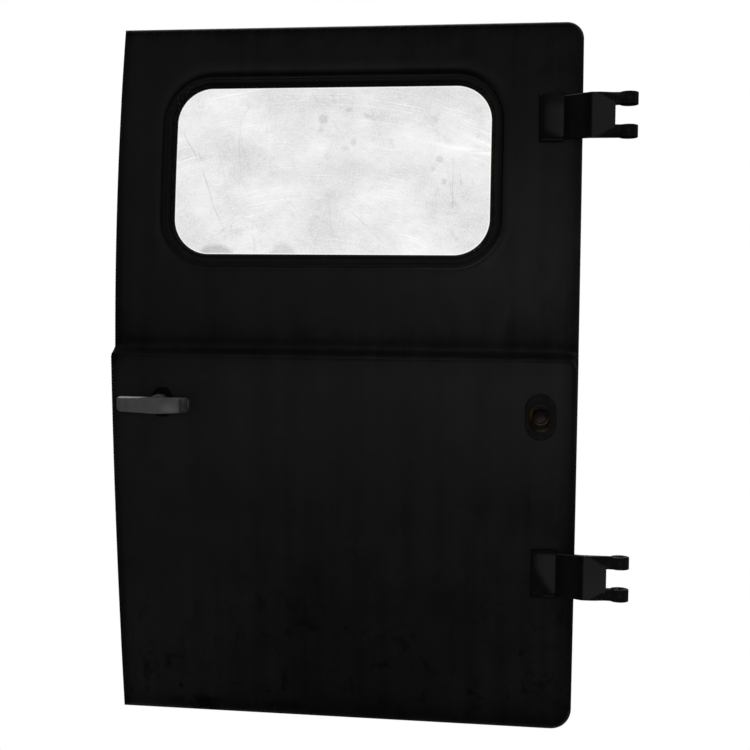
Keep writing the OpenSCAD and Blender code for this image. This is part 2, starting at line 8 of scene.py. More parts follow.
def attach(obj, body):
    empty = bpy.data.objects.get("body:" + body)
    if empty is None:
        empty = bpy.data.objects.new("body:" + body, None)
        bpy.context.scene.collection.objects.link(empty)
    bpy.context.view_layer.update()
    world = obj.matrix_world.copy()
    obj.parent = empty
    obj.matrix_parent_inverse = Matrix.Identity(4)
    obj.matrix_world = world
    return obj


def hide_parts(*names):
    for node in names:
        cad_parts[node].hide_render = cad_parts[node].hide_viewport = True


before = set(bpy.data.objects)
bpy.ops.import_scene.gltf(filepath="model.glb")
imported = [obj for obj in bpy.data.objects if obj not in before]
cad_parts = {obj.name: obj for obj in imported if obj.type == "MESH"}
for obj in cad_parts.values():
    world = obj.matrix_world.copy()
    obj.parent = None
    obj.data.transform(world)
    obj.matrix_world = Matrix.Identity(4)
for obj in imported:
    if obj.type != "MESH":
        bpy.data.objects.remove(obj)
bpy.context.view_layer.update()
SCENE = bpy.context.scene
MM = 0.001

# Sizes of the source, in millimetres
LEAF_W, LEAF_H, SKIN_T, EDGE_D = 827.0, 1250.0, 1.5, 18.0
CORNER_TOP, CORNER_LOW, EDGE_R = 30.0, 37.0, 4.0
AXIS_OUT, ORIGIN_UP = 76.0, 305.0
WAIST_UP, WAIST_H = 675.0, 19.0
FACE_BOTTOM, FACE_LOW, FACE_UP, FACE_TOP = 66.0, -21.0, 0.5, 47.4
BOW_LOW, BOW_UP = 8.5, 15.7
FALL_W, FALL_UP, FALL_LOW, SHOULDER_R = 15.0, 17.0, 6.0, 18.0
WIN_LEFT, WIN_RIGHT, WIN_TOP, WIN_LOW, WIN_R, GLASS_T = 106.3, 154.7, 110.0, 164.0, 65.0, 5.0
KNUCKLE_D, KNUCKLE_H, SLOT_H, PIN_HOLE, BUSH_T, SLOT_BACK = 32.0, 21.0, 34.4, 12.0, 2.0, 22.6
ARM_T, ARM_BACK, PLATE_T, PLATE_W, PLATE_MORE, CRANK_W, BEND_IN = 14.0, 6.0, 4.5, 42.0, 4.0, 44.0, 32.0
HINGE_TOP = 153.5
HANDLE_IN, HANDLE_DOWN = 95.0, 99.2
GRIP_W, GRIP_OFF, GRIP_H, GRIP_END_H, GRIP_T, GRIP_OUT = 134.0, 6.5, 29.0, 25.0, 17.0, 45.0
HUB_D, HUB_BACK, STEM_D, ROSE_W, ROSE_H = 34.0, 12.0, 19.0, 38.0, 52.0
CATCH_IN, CATCH_DOWN, CATCH_W, CATCH_H, RING_W, RING_H, CUP_D = 62.7, 112.0, 53.0, 80.0, 39.0, 50.0, 26.0
GAP = 0.3
HOLE_OUT = 10.0      # the skin's window hole, outside the clear glass
GLASS_OUT = 6.9      # the glass's edge, outside the clear glass
GLASS_BACK = 1.5     # the glass's front, behind the face
PLATE_HOLE_R = 15.3  # the hole in the socket's plate
CELL = 4.0           # the side of a square in the point grid

X_LEFT, X_RIGHT = -(LEAF_W + AXIS_OUT), -AXIS_OUT
Z_LOW, Z_HIGH = -ORIGIN_UP, LEAF_H - ORIGIN_UP
Z_WU = WAIST_UP - ORIGIN_UP
Z_WL = Z_WU - WAIST_H
WIN_W = LEAF_W - WIN_LEFT - WIN_RIGHT
WIN_H = LEAF_H - WAIST_UP - WIN_TOP - WIN_LOW
WIN_X, WIN_Z = X_LEFT + WIN_LEFT, Z_WU + WIN_LOW
Z_HINGE = (-SLOT_H / 2, Z_HIGH - HINGE_TOP - SLOT_H / 2)
EAR_H = SLOT_H + 2 * KNUCKLE_H


def arc(p, q, s):
    """Radius and centre of the arc from p to q that bows towards -Y by s."""
    c = math.hypot(q[0] - p[0], q[1] - p[1])
    r = (c * c / 4 + s * s) / (2 * s)
    n = ((q[1] - p[1]) / c, -(q[0] - p[0]) / c)
    return r, (p[0] + q[0]) / 2 + n[0] * (r - s), (p[1] + q[1]) / 2 + n[1] * (r - s)


LOW_R, LOW_CY, LOW_CZ = arc((FACE_BOTTOM, Z_LOW), (FACE_LOW, Z_WL), BOW_LOW)
UP_R, UP_CY, UP_CZ = arc((FACE_UP, Z_WU), (FACE_TOP, Z_HIGH), BOW_UP)


def low_y(z, d=0.0):
    return LOW_CY - math.sqrt((LOW_R - d) ** 2 - (z - LOW_CZ) ** 2)


def up_y(z, d=0.0):
    return UP_CY - math.sqrt((UP_R - d) ** 2 - (z - UP_CZ) ** 2)


def face_y(z):
    return low_y(z) if z < Z_WU else up_y(z)


def face_lean(z):
    return math.asin((LOW_CZ - z) / LOW_R) if z < Z_WU else math.asin((UP_CZ - z) / UP_R)


def on_face(x, z):
    """Matrix of a place on the face, square to it, with -Y outwards, in millimetres."""
    return Matrix.Translation((x, face_y(z), z)) @ Matrix.Rotation(face_lean(z), 4, "X")


def quarter(e, w, h):
    if e >= w:
        return 0.0
    t = 1 - max(e, 0.0) / w
    return h * (1 - math.sqrt(max(0.0, 1 - t * t)))


def smooth(t):
    t = min(1.0, max(0.0, t))
    return t * t * (3 - 2 * t)


def edge_distance(x, z):
    """Distance inwards from the leaf's outline."""
    d = min(x - X_LEFT, X_RIGHT - x, Z_HIGH - z, z - Z_LOW)
    for r, cz, s in ((CORNER_TOP, Z_HIGH - CORNER_TOP, 1), (CORNER_LOW, Z_LOW + CORNER_LOW, -1)):
        cx = X_RIGHT - r
        if x > cx and (z - cz) * s > 0:
            d = r - math.hypot(x - cx, z - cz)
    return d


def window_distance(x, z):
    """Distance outwards from the clear glass."""
    cx, cz = WIN_X + WIN_W / 2, WIN_Z + WIN_H / 2
    dx = abs(x - cx) - WIN_W / 2 + WIN_R
    dz = abs(z - cz) - WIN_H / 2 + WIN_R
    return math.hypot(max(dx, 0), max(dz, 0)) + min(max(dx, dz), 0) - WIN_R


def ridge(o):
    """Height of the pressed bead round the window rubber."""
    if o < 18.5 or o > 38:
        return 0.0
    return 1.1 * smooth((o - 18.5) / 7.5) * (1 - smooth((o - 28.5) / 9.0))


def shoulder_dip(x):
    e = SHOULDER_R - max(0.0, min(SHOULDER_R, X_RIGHT - 4 - x))
    return SHOULDER_R - math.sqrt(SHOULDER_R * SHOULDER_R - e * e)


def skin_y(x, z):
    """Y of the pressed outer face."""
    d = edge_distance(x, z)
    dip = shoulder_dip(x)
    foot, top = Z_WL - dip, Z_WU - 0.4 * dip
    roll = quarter(d, EDGE_R, EDGE_R)
    right = X_RIGHT - x
    if z >= top:
        y = up_y(z)
    else:
        k = min(1.0, (z - Z_LOW) / (Z_WL - Z_LOW))
        fall = quarter(right, FALL_W, FALL_LOW + (FALL_UP - FALL_LOW) * k)
        if z < foot:
            y = low_y(z) + fall
        else:
            t = (z - foot) / (top - foot)
            a = low_y(foot) + quarter(right, FALL_W, FALL_UP)
            y = a + (up_y(top) - a) * (1 - math.cos(math.pi * t)) / 2
        if right < FALL_W:
            roll = max(0.0, roll - quarter(right, EDGE_R, EDGE_R) * 0.8)
    return y + roll - ridge(window_distance(x, z))


# ---- mesh helpers ----


def add_mesh(name, verts, faces, mat, slot, body="leaf", sharp=35, parts=(), place=None):
    me = bpy.data.meshes.new(name)
    if place is not None:
        verts = [place @ Vector(v) for v in verts]
    me.from_pydata([(v[0] * MM, v[1] * MM, v[2] * MM) for v in verts], [], faces)
    me.validate()
    me.update()
    ob = bpy.data.objects.new(name, me)
    SCENE.collection.objects.link(ob)
    me.shade_smooth()
    if sharp is not None:
        me.set_sharp_from_angle(angle=math.radians(sharp))
    me.materials.append(mat)
    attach(ob, body)
    if parts:
        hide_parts(*parts)
    return ob


def join(lists):
    """Several (verts, faces) as one."""
    verts, faces = [], []
    for v, f in lists:
        n = len(verts)
        verts += v
        faces += [tuple(i + n for i in face) for face in f]
    return verts, faces


def loft(loops, closed=False, caps=True):
    """Skins a row of loops that have the same number of points."""
    n = len(loops[0])
    verts = [p for loop in loops for p in loop]
    faces = []
    rows = len(loops)
    for i in range(rows if closed else rows - 1):
        a, b = i * n, ((i + 1) % rows) * n
        for k in range(n):
            m = (k + 1) % n
            faces.append((a + k, a + m, b + m, b + k))
    if caps and not closed:
        faces.append(tuple(reversed(range(n))))
        faces.append(tuple((rows - 1) * n + k for k in range(n)))
    return verts, faces


def lathe_y(profile, steps=64, closed=True):
    """Turns a list of (radius, y) about the Y axis."""
    turns = [2 * math.pi * i / steps for i in range(steps)]
    verts = [(r * math.cos(a), y, r * math.sin(a)) for a in turns for r, y in profile]
    n = len(profile)
    faces = []
    for i in range(steps):
        a, b = i * n, ((i + 1) % steps) * n
        for k in range(n if closed else n - 1):
            m = (k + 1) % n
            faces.append((a + k, b + k, b + m, a + m))
    return verts, faces


def round_loop(path, r, y):
    """A circle about the Y axis with its points in the directions of the path's."""
    angles = [math.atan2(z, x) for x, z in path]
    return [(r * math.cos(a), y, r * math.sin(a)) for a in angles]


def turned(vf, matrix):
    return [tuple(matrix @ Vector(v)) for v in vf[0]], vf[1]


def corner_arc(cx, cz, r, a0, a1, n):
    return [(cx + r * math.cos(math.radians(a0 + (a1 - a0) * i / n)),
             cz + r * math.sin(math.radians(a0 + (a1 - a0) * i / n))) for i in range(n + 1)]


def window_path(o, seg=22, step=9.0):
    """Points round the window at distance o outside the clear glass, the same number for every o."""
    x0, x1, z0, z1, r = WIN_X, WIN_X + WIN_W, WIN_Z, WIN_Z + WIN_H, WIN_R
    centres = [(x1 - r, z0 + r, -90), (x1 - r, z1 - r, 0), (x0 + r, z1 - r, 90), (x0 + r, z0 + r, 180)]
    pts = []
    for k, (cx, cz, a0) in enumerate(centres):
        pts += corner_arc(cx, cz, r + o, a0, a0 + 90, seg)
        nx, nz, na = centres[(k + 1) % 4]
        p = pts[-1]
        a = math.radians(na)
        q = (nx + (r + o) * math.cos(a), nz + (r + o) * math.sin(a))
        count = int(math.hypot(nx - cx, nz - cz) / step)
        pts += [(p[0] + (q[0] - p[0]) * i / count, p[1] + (q[1] - p[1]) * i / count) for i in range(1, count)]
    return pts


def outline_path(d, step=6.0):
    """Points round the leaf at distance d inside its outline, counter-clockwise from the low left corner."""
    x0, x1, z0, z1 = X_LEFT + d, X_RIGHT - d, Z_LOW + d, Z_HIGH - d
    ra, rb = CORNER_LOW - d, CORNER_TOP - d

    def line(p, q):
        n = max(1, int(math.hypot(q[0] - p[0], q[1] - p[1]) / step))
        return [(p[0] + (q[0] - p[0]) * i / n, p[1] + (q[1] - p[1]) * i / n) for i in range(n)]

    pts = line((x0, z0), (x1 - ra, z0))
    pts += corner_arc(x1 - ra, z0 + ra, ra, -90, 0, 16)[:-1]
    pts += line((x1, z0 + ra), (x1, z1 - rb))
    pts += corner_arc(x1 - rb, z1 - rb, rb, 0, 90, 16)[:-1]
    pts += line((x1 - rb, z1), (x0, z1))
    pts += line((x0, z1), (x0, z0))
    return pts


class Points:
    """Flat points with a least spacing, for the triangulation."""

    def __init__(self):
        self.pts, self.grid, self.edges = [], {}, []

    def near(self, x, z, r):
        k = int(r / CELL) + 1
        gx, gz = int(x // CELL), int(z // CELL)
        for i in range(gx - k, gx + k + 1):
            for j in range(gz - k, gz + k + 1):
                for n in self.grid.get((i, j), ()):
                    p = self.pts[n]
                    if (p[0] - x) ** 2 + (p[1] - z) ** 2 < r * r:
                        return True
        return False

    def add(self, x, z, space=0.0):
        if space and self.near(x, z, space):
            return None
        self.pts.append((x, z))
        self.grid.setdefault((int(x // CELL), int(z // CELL)), []).append(len(self.pts) - 1)
        return len(self.pts) - 1

    def loop(self, pts):
        ids = [self.add(x, z) for x, z in pts]
        self.edges += list(zip(ids, ids[1:] + ids[:1]))


HANDLE_X, HANDLE_Z = X_LEFT + HANDLE_IN, Z_WU - HANDLE_DOWN
CATCH_X, CATCH_Z = X_RIGHT - CATCH_IN, Z_WU - CATCH_DOWN


def circle(cx, cz, r, n):
    return [(cx + r * math.cos(2 * math.pi * i / n), cz + r * math.sin(2 * math.pi * i / n)) for i in range(n)]


def lip_y(z):
    """Y of the face at the leaf's edge, which the turned edge follows."""
    if abs(z - (Z_WL + Z_WU) / 2) > WAIST_H / 2:
        return low_y(z) if z < Z_WL else up_y(z)
    return low_y(Z_WL) + (up_y(Z_WU) - low_y(Z_WL)) * (z - Z_WL) / WAIST_H


def inward(x, z):
    """The outline's point drawn inwards by the sheet."""
    for r, zc, s in ((CORNER_TOP, Z_HIGH - CORNER_TOP, 1), (CORNER_LOW, Z_LOW + CORNER_LOW, -1)):
        xc = X_RIGHT - r
        if x > xc and (z - zc) * s > 0:
            q = math.hypot(x - xc, z - zc)
            return xc + (x - xc) * (q - SKIN_T) / q, zc + (z - zc) * (q - SKIN_T) / q
    return min(max(x, X_LEFT + SKIN_T), X_RIGHT - SKIN_T), min(max(z, Z_LOW + SKIN_T), Z_HIGH - SKIN_T)


def skin_mesh():
    """The pressed sheet: face, back, and the turned edge."""
    P = Points()
    holes = [(HANDLE_X, HANDLE_Z, (STEM_D + 1) / 2), (CATCH_X, CATCH_Z, CUP_D / 2 + 3)]
    rim = outline_path(0.0)
    P.loop(rim)
    P.loop(window_path(HOLE_OUT))
    for cx, cz, r in holes:
        P.loop(circle(cx, cz, r, 40))
    for d in (0.25, 0.7, 1.3, 2.0, 2.9, 4.0, 5.6, 8.0, 11.0, 15.0, 20.0, 26.0):
        for x, z in outline_path(d, 6.0 if d < 5 else 9.0):
            P.add(x, z, 0.2 if d < 5 else 1.2)
    for o in (14, 17.2, 18.4, 19.6, 20.8, 22, 23.4, 24.8, 26.2, 27.6, 29, 30.6, 32.2, 34, 36, 38.4):
        for x, z in window_path(o):
            P.add(x, z, 0.5)
    # the shoulder
    xs = [X_LEFT + 5 + i * (X_RIGHT - 34 - X_LEFT - 5) / 66 for i in range(67)]
    xs += [X_RIGHT - 32 + i * 1.6 for i in range(18)]
    rows = {}
    for x in xs:
        dip = shoulder_dip(x)
        foot, top = Z_WL - dip, Z_WU - 0.4 * dip
        levels = [foot - 12, foot - 7, foot - 3.5, foot - 1.2]
        levels += [foot + (top - foot) * i / 14 for i in range(15)] + [top + 1.5, top + 3.5, top + 6.5, top + 11,
                top + 17]
        for i, z in enumerate(levels):
            k = P.add(x, z, 0.5)
            if k is not None and i in (3, 4, 11, 18, 19):
                if rows.get(i) is not None:
                    P.edges.append((rows[i], k))
                rows[i] = k
    # the strip that falls back to the hinge edge
    z = Z_LOW + 5
    while z < Z_WL - SHOULDER_R - 2:
        for e in (5.0, 6.2, 7.5, 9.0, 10.5, 12.0, 13.5, 15.0, 17.0):
            P.add(X_RIGHT - e, z, 0.9)
        z += 7.0
    # the open field, every other row set over
    n = 0
    z = Z_LOW + 9
    while z < Z_HIGH - 6:
        x = X_LEFT + 9 + 5 * (n % 2)
        while x < X_RIGHT - 6:
            if window_distance(x, z) > 14:
                P.add(x, z, 5.0)
            x += 11.0
        z += 10.0
        n += 1

    def outside(x, z):
        return edge_distance(x, z) < 1e-3 or window_distance(x, z) < HOLE_OUT or \
            any(math.hypot(x - hx, z - hz) < hr * 0.998 for hx, hz, hr in holes)

    flat, keep = flat_triangles(P, outside)
    front = [(x, skin_y(x, z), z) for x, z in flat]
    n = len(front)
    back = [(x, y + SKIN_T, z) for x, y, z in front]
    verts = front + back
    faces = keep + [tuple(n + i for i in reversed(t)) for t in keep]
    # the turned edge: the outer wall down to its lip, and the inner wall from the same points drawn inwards
    m = len(rim)
    base = len(verts)
    lips = [lip_y(z) + EDGE_D for _, z in rim]
    close = [inward(x, z) for x, z in rim]
    rings = [[(x, skin_y(x, z) + (lip - skin_y(x, z)) * k, z) for (x, z), lip in zip(rim, lips)]
             for k in (0, 0.5, 0.97, 1.0)]
    rings.append([(x, lip, z) for (x, z), lip in zip(close, lips)])
    rings.append([(x, skin_y(x, z) + SKIN_T, z) for x, z in close])
    for i, ring in enumerate(rings):
        verts += ring
        if i:
            a, b = base + (i - 1) * m, base + i * m
            faces += [(a + k, b + k, b + (k + 1) % m, a + (k + 1) % m) for k in range(m)]
    return verts, faces


def flat_triangles(pts, outside):
    """Triangulates the flat points and drops the triangles whose middle is outside; all turn the same way."""
    res = geometry.delaunay_2d_cdt([Vector(p) for p in pts.pts], pts.edges, [], 0, 1e-4)
    flat, keep = [tuple(v) for v in res[0]], []
    for t in res[2]:
        a, b, c = (flat[i] for i in t)
        if outside((a[0] + b[0] + c[0]) / 3, (a[1] + b[1] + c[1]) / 3):
            continue
        area = (b[0] - a[0]) * (c[1] - a[1]) - (b[1] - a[1]) * (c[0] - a[0])
        keep.append(tuple(t) if area > 0 else tuple(reversed(t)))
    return flat, keep


def table(v, rows):
    """Straight-line look-up in (place, value) rows."""
    if v <= rows[0][0]:
        return rows[0][1]
    for (a, p), (b, q) in zip(rows, rows[1:]):
        if v <= b:
            return p + (q - p) * (v - a) / (b - a)
    return rows[-1][1]


def blend(a, b, t):
    t = min(1.0, max(0.0, t))
    return tuple(p + (q - p) * t for p, q in zip(a, b))


def point_values(ob, names, value, place=None):
    """Writes value(x, y, z), in mm, to the points: a number for each name, or one colour for a lone name."""
    back = place.inverted() if place else Matrix()
    rows = [value(*(back @ (v.co / MM))) for v in ob.data.vertices]
    colour = len(names) == 1 and isinstance(rows[0], tuple)
    for n, name in enumerate(names):
        layer = ob.data.attributes.new(name, "FLOAT_COLOR" if colour else "FLOAT", "POINT")
        for item, row in zip(layer.data, rows):
            if colour:
                item.color = (*row, 1.0)
            else:
                item.value = row[n] if isinstance(row, tuple) else row


# ---- node helpers ----


class Val:
    """An output socket of a node tree; arithmetic on it adds Math nodes."""

    def __init__(self, nt, sock):
        self.nt, self.sock = nt, sock

    def __add__(self, b):
        return calc("ADD", self, b)

    def __sub__(self, b):
        return calc("SUBTRACT", self, b)

    def __rsub__(self, a):
        return calc("SUBTRACT", a, self)

    def __mul__(self, b):
        return calc("MULTIPLY", self, b)

    def __truediv__(self, b):
        return calc("DIVIDE", self, b)

    def __abs__(self):
        return calc("ABSOLUTE", self)


def put(sock, v):
    """Links a Val to an input socket, or sets the socket to a plain value."""
    if isinstance(v, Val):
        v.nt.links.new(v.sock, sock)
    else:
        sock.default_value = v


def add_node(nt, kind, **inputs):
    node = nt.nodes.new("ShaderNode" + kind)
    for name, v in inputs.items():
        put(node.inputs[name], v)
    return node


def calc(op, a, b=None, clamp=False):
    node = add_node((a if isinstance(a, Val) else b).nt, "Math")
    node.operation = op
    node.use_clamp = clamp
    put(node.inputs[0], a)
    if b is not None:
        put(node.inputs[1], b)
    return Val(node.id_data, node.outputs[0])


def larger(a, b):
    return calc("MAXIMUM", a, b)


def hypot(a, b):
    return calc("SQRT", a * a + b * b)


def darken(tone, spot, k):
    """Takes the share k off the tone where the spot is 1."""
    return tone * (1.0 - spot * k)


def new_material(name):
    mat = bpy.data.materials.new(name)
    mat.use_nodes = True
    nt = mat.node_tree
    bsdf = next(n for n in nt.nodes if n.type == "BSDF_PRINCIPLED")
    return mat, nt, bsdf


def dress(bsdf, **inputs):
    """Sets inputs of a Principled node; an underscore stands for a space."""
    for name, v in inputs.items():
        put(bsdf.inputs[name.replace("_", " ")], v)


def mapped(nt, scale=(1, 1, 1), rot=(0, 0, 0), loc=(0, 0, 0)):
    """Object coordinates, turned, moved and scaled."""
    place = Val(nt, add_node(nt, "TexCoord").outputs["Object"])
    return Val(nt, add_node(nt, "Mapping", Scale=scale, Rotation=rot, Location=loc, Vector=place).outputs[0])


def noise(nt, scale, detail=4.0, rough=0.55, vec=None, distort=0.0):
    n = add_node(nt, "TexNoise", Scale=scale, Detail=detail, Roughness=rough, Distortion=distort,
                 Vector=vec or mapped(nt))
    return Val(nt, n.outputs[0])


def ramp(fac, *stops, interp="LINEAR"):
    """stops: (position, value), in rising order."""
    n = add_node(fac.nt, "ValToRGB")
    cr = n.color_ramp
    cr.interpolation = interp
    while len(cr.elements) < len(stops):
        cr.elements.new(0.5)
    for e, (p, c) in zip(cr.elements, stops):
        e.position = p
        e.color = (c, c, c, 1)
    put(n.inputs[0], fac)
    return Val(fac.nt, n.outputs[0])


def mix(nt, fac, a, b, mode="MIX"):
    """Mixes colours; a and b are Vals or (r, g, b)."""
    n = add_node(nt, "Mix")
    n.data_type = "RGBA"
    n.blend_type = mode
    put(n.inputs[0], fac)
    for sock, v in ((n.inputs[6], a), (n.inputs[7], b)):
        put(sock, v if isinstance(v, Val) else (*v, 1))
    return Val(nt, n.outputs[2])


def scaled(nt, colour, by):
    """A colour times a number that may pass 1."""
    n = add_node(nt, "VectorMath")
    n.operation = "SCALE"
    put(n.inputs[0], colour)
    put(n.inputs["Scale"], by)
    return Val(nt, n.outputs[0])


def flat_vector(nt, x, second, axis):
    """A vector from two numbers, the second on the given axis."""
    comb = add_node(nt, "CombineXYZ")
    put(comb.inputs[0], x)
    put(comb.inputs[axis], second)
    return Val(nt, comb.outputs[0])


def scratches(nt, angle, scale, length, thin, amount, seed=0.0):
    """Sparse thin lines at one angle in the plane of the leaf: 1 on a line, 0 off it."""
    vec = mapped(nt, (1, 1, 1), (0, math.radians(angle), 0), (seed, 0, seed * 0.7))
    sep = add_node(nt, "SeparateXYZ", Vector=vec)
    u = Val(nt, sep.outputs[0]) + noise(nt, 2.2, 2.0, 0.5, vec) * 0.06
    place = flat_vector(nt, u * scale, Val(nt, sep.outputs[2]) * (scale / length), 2)
    cell = add_node(nt, "TexVoronoi", Scale=1.0, Randomness=1.0, Vector=place)
    line = ramp(Val(nt, cell.outputs["Distance"]), (0.0, 1.0), (thin * 0.6, 0.7), (thin, 0.0))
    return line * ramp(noise(nt, 1.0, 0.0, 0.5, place), (1 - amount - 0.02, 0.0), (1 - amount + 0.02, 1.0))


def bump(nt, bsdf, height, strength, dist):
    b = add_node(nt, "Bump", Strength=strength, Distance=dist, Height=height)
    put(bsdf.inputs["Normal"], Val(nt, b.outputs[0]))


def coords(nt):
    sep = add_node(nt, "SeparateXYZ", Vector=Val(nt, add_node(nt, "TexCoord").outputs["Object"]))
    return [Val(nt, s) for s in sep.outputs]


def attr(nt, name, out="Fac"):
    n = add_node(nt, "Attribute")
    n.attribute_name = name
    return Val(nt, n.outputs[out])


def ellipse(x, z, cx, cz, rx, rz):
    """Distance from the place (cx, cz), 1 on the ellipse with the half-widths rx and rz; all in mm."""
    return hypot((x - cx * MM) * (1 / MM / rx), (z - cz * MM) * (1 / MM / rz))


# ---- materials ----

BEND_X = X_RIGHT - BEND_IN
PLATE_X = BEND_X - PLATE_W
# (centre x, centre z, half width, half height) of the hinge plates
FITTINGS = [(PLATE_X + PLATE_W / 2, zc, PLATE_W / 2, EAR_H / 2 + PLATE_MORE) for zc in Z_HINGE]

# (mm from the left edge, mm up, half width, half height, strength) of the stains
STAINS = [(158, 15, 34, 19, 0.62), (90, 92, 9, 20, 0.36), (112, 46, 4, 7, 0.6), (300, 20, 40, 9, 0.35),
          (66, 84, 10, 14, 0.12),
          (112, 104, 20, 7, 0.22), (100, 20, 26, 8, 0.3)]


def paint_black():
    """Old black paint: uneven, streaked downwards, dusty, with painted light and shade from its points that make it
    darker towards the rims.
    """
    mat, nt, bsdf = new_material("black_paint")
    x, _, z = coords(nt)
    broad = ramp(noise(nt, 3.2, 3.0, 0.5), (0.3, 0.86), (0.7, 1.14))
    streaks = ramp(noise(nt, 1.0, 3.0, 0.55, mapped(nt, (34, 1, 1.6))), (0.28, 0.84), (0.5, 1.0), (0.72, 1.1))
    fine = ramp(noise(nt, 260, 3.0, 0.6), (0.3, 0.92), (0.7, 1.08))
    smear = ramp(noise(nt, 16, 5.0, 0.62, None, 0.4), (0.36, 0.9), (0.62, 1.06))
    # the points' rim value is painted light and shade: a painted sheen, painted highlights on the rolled edges,
    # painted shade along the rims, in the waist step and round the window bead
    tone = broad * streaks * (fine * smear) * attr(nt, "rim")
    # painted contact shadow round the hinge plates
    for cx, cz, hw, hh in FITTINGS:
        away = larger(abs(x - cx * MM) - hw * MM, abs(z - cz * MM) - hh * MM)
        tone = tone * ramp(away * 100.0, (0.0, 0.5), (0.1, 0.62), (0.25, 0.92), (0.7, 1.0))
    # dark worn-off blotches low on the leaf
    low = ramp(z * -1.6 + 0.02, (0.0, 0.0), (0.3, 1.0))
    blot = ramp(noise(nt, 24, 5.0, 0.65, mapped(nt, (1, 1, 0.75)), 0.6), (0.56, 0.0), (0.66, 1.0))
    tone = darken(tone, blot * low, 0.38)
    # long dark runs
    tone = darken(tone, scratches(nt, 4, 70, 26, 0.16, 0.30, 3.1), 0.25)
    line = larger(scratches(nt, 38, 120, 12, 0.07, 0.22, 1.7), scratches(nt, -64, 90, 18, 0.05, 0.2, 5.2))
    ragged = (noise(nt, 80, 4.0, 0.68) - 0.5) * 2.2
    for mx, mz, rx, rz, k in STAINS:
        away = ellipse(x, z, X_LEFT + mx, Z_LOW + mz, rx, rz) + ragged
        tone = darken(tone, ramp(away, (0.3, 1.0), (1.15, 0.0)), k)
    colour = mix(nt, line * 0.35, scaled(nt, (0.0067, 0.0067, 0.0068), tone), (0.02, 0.02, 0.02))
    dust = ramp(noise(nt, 45, 6.0, 0.7), (0.52, 0.0), (0.8, 1.0))
    colour = mix(nt, dust * 0.16, colour, (0.017, 0.016, 0.0145))
    rough = ramp(noise(nt, 20, 5.0, 0.6, mapped(nt, (1.6, 1, 0.7))), (0.3, 0.42), (0.7, 0.56))
    gloss = calc("MINIMUM", calc("POWER", tone, 1.5), 1.2) * 0.08
    dress(bsdf, Base_Color=colour, Roughness=rough, Specular_IOR_Level=gloss)
    height = noise(nt, 420, 2.0, 0.5) * 0.35 + (noise(nt, 7, 2.0, 0.5) - line * 0.5)
    bump(nt, bsdf, height, 0.10, 0.0012)
    return mat


def simple_paint(name, colour, light, rough=(0.4, 0.6), spec=0.2, scale=60, bump_s=0.15, wear_and_shade=None):
    """A worn plain finish: uneven tone, scuffs that show a lighter colour, and fine grain."""
    mat, nt, bsdf = new_material(name)
    tone = ramp(noise(nt, 9, 4.0, 0.55), (0.3, 0.8), (0.7, 1.2)) * ramp(noise(nt, 300, 3.0, 0.6), (0.3, 0.9),
            (0.7, 1.1))
    # a piece may bring its lightness from its points, which carry painted light and shade
    if wear_and_shade:
        base = scaled(nt, colour, tone * attr(nt, wear_and_shade))
    else:
        base = mix(nt, tone, (0, 0, 0), colour)
    scuff = ramp(noise(nt, scale, 6.0, 0.7), (0.56, 0.0), (0.75, 1.0))
    line = larger(scratches(nt, 30, 160, 10, 0.08, 0.2, 2.2), scratches(nt, -50, 210, 8, 0.07, 0.2, 6.4))
    out = mix(nt, line * 0.5, mix(nt, scuff * 0.35, base, light), light)
    dress(bsdf, Base_Color=out, Specular_IOR_Level=spec,
          Roughness=ramp(noise(nt, 30, 4.0, 0.6), (0.3, rough[0]), (0.7, rough[1])))
    bump(nt, bsdf, noise(nt, 380, 3.0, 0.6) - line * 0.6, bump_s, 0.0004)
    return mat


# mm from the clear glass's low left: (x, z, half width, half height, strength, raggedness) of the smears,
# then (x, z, x, z, strength) of the single scratches
GLASS_MARKS = [(78, -4, 38, 26, 0.17, 0.2), (200, -4, 27, 28, 0.09, 0.6), (266, 242, 10, 10, 0.1, 1),
               (312, 258, 9, 4, 0.08, 1), (322, 200, 6, 9, 0.07, 1.3),
               (308, 190, 9, 4, 0.06, 1.3), (475, 169, 7, 8, 0.08, 1), (464, 152, 4, 6, 0.06, 1), (484, 130, 5, 6,
                       0.08, 1), (262, 222, 6, 6, 0.05, 1)]
GLASS_LINES = [(12, 226, 98, 34, 0.6), (117, 249, 119, 103, 0.4), (78, 188, 98, 100, 0.4),
               (242, 290, 308, 203, 0.4), (347, 276, 381, 184, 0.35),
               (199, 103, 236, 63, 0.6), (319, 80, 378, 22, 0.5), (145, 53, 148, 3, 0.5), (222, 288, 191, 215,
                       0.3), (502, 176, 498, 72, 0.4),
               (137, 95, 71, 22, 0.35), (166, 235, 167, 190, 0.3), (322, 110, 342, 86, 0.3), (117, 53, 118, 12,
                       0.35), (308, 72, 312, 20, 0.25),
               (98, 104, 128, 80, 0.35), (420, 262, 412, 200, 0.2), (455, 250, 468, 190, 0.2),
               (118, 225, 140, 120, 0.35), (60, 20, 128, 72, 0.3), (140, 100, 112, 150, 0.25), (106, 60, 112, 3,
                       0.35), (283, 100, 292, 20, 0.25),
               (488, 165, 500, 95, 0.3), (70, 200, 118, 150, 0.25), (128, 70, 150, 20, 0.3)]


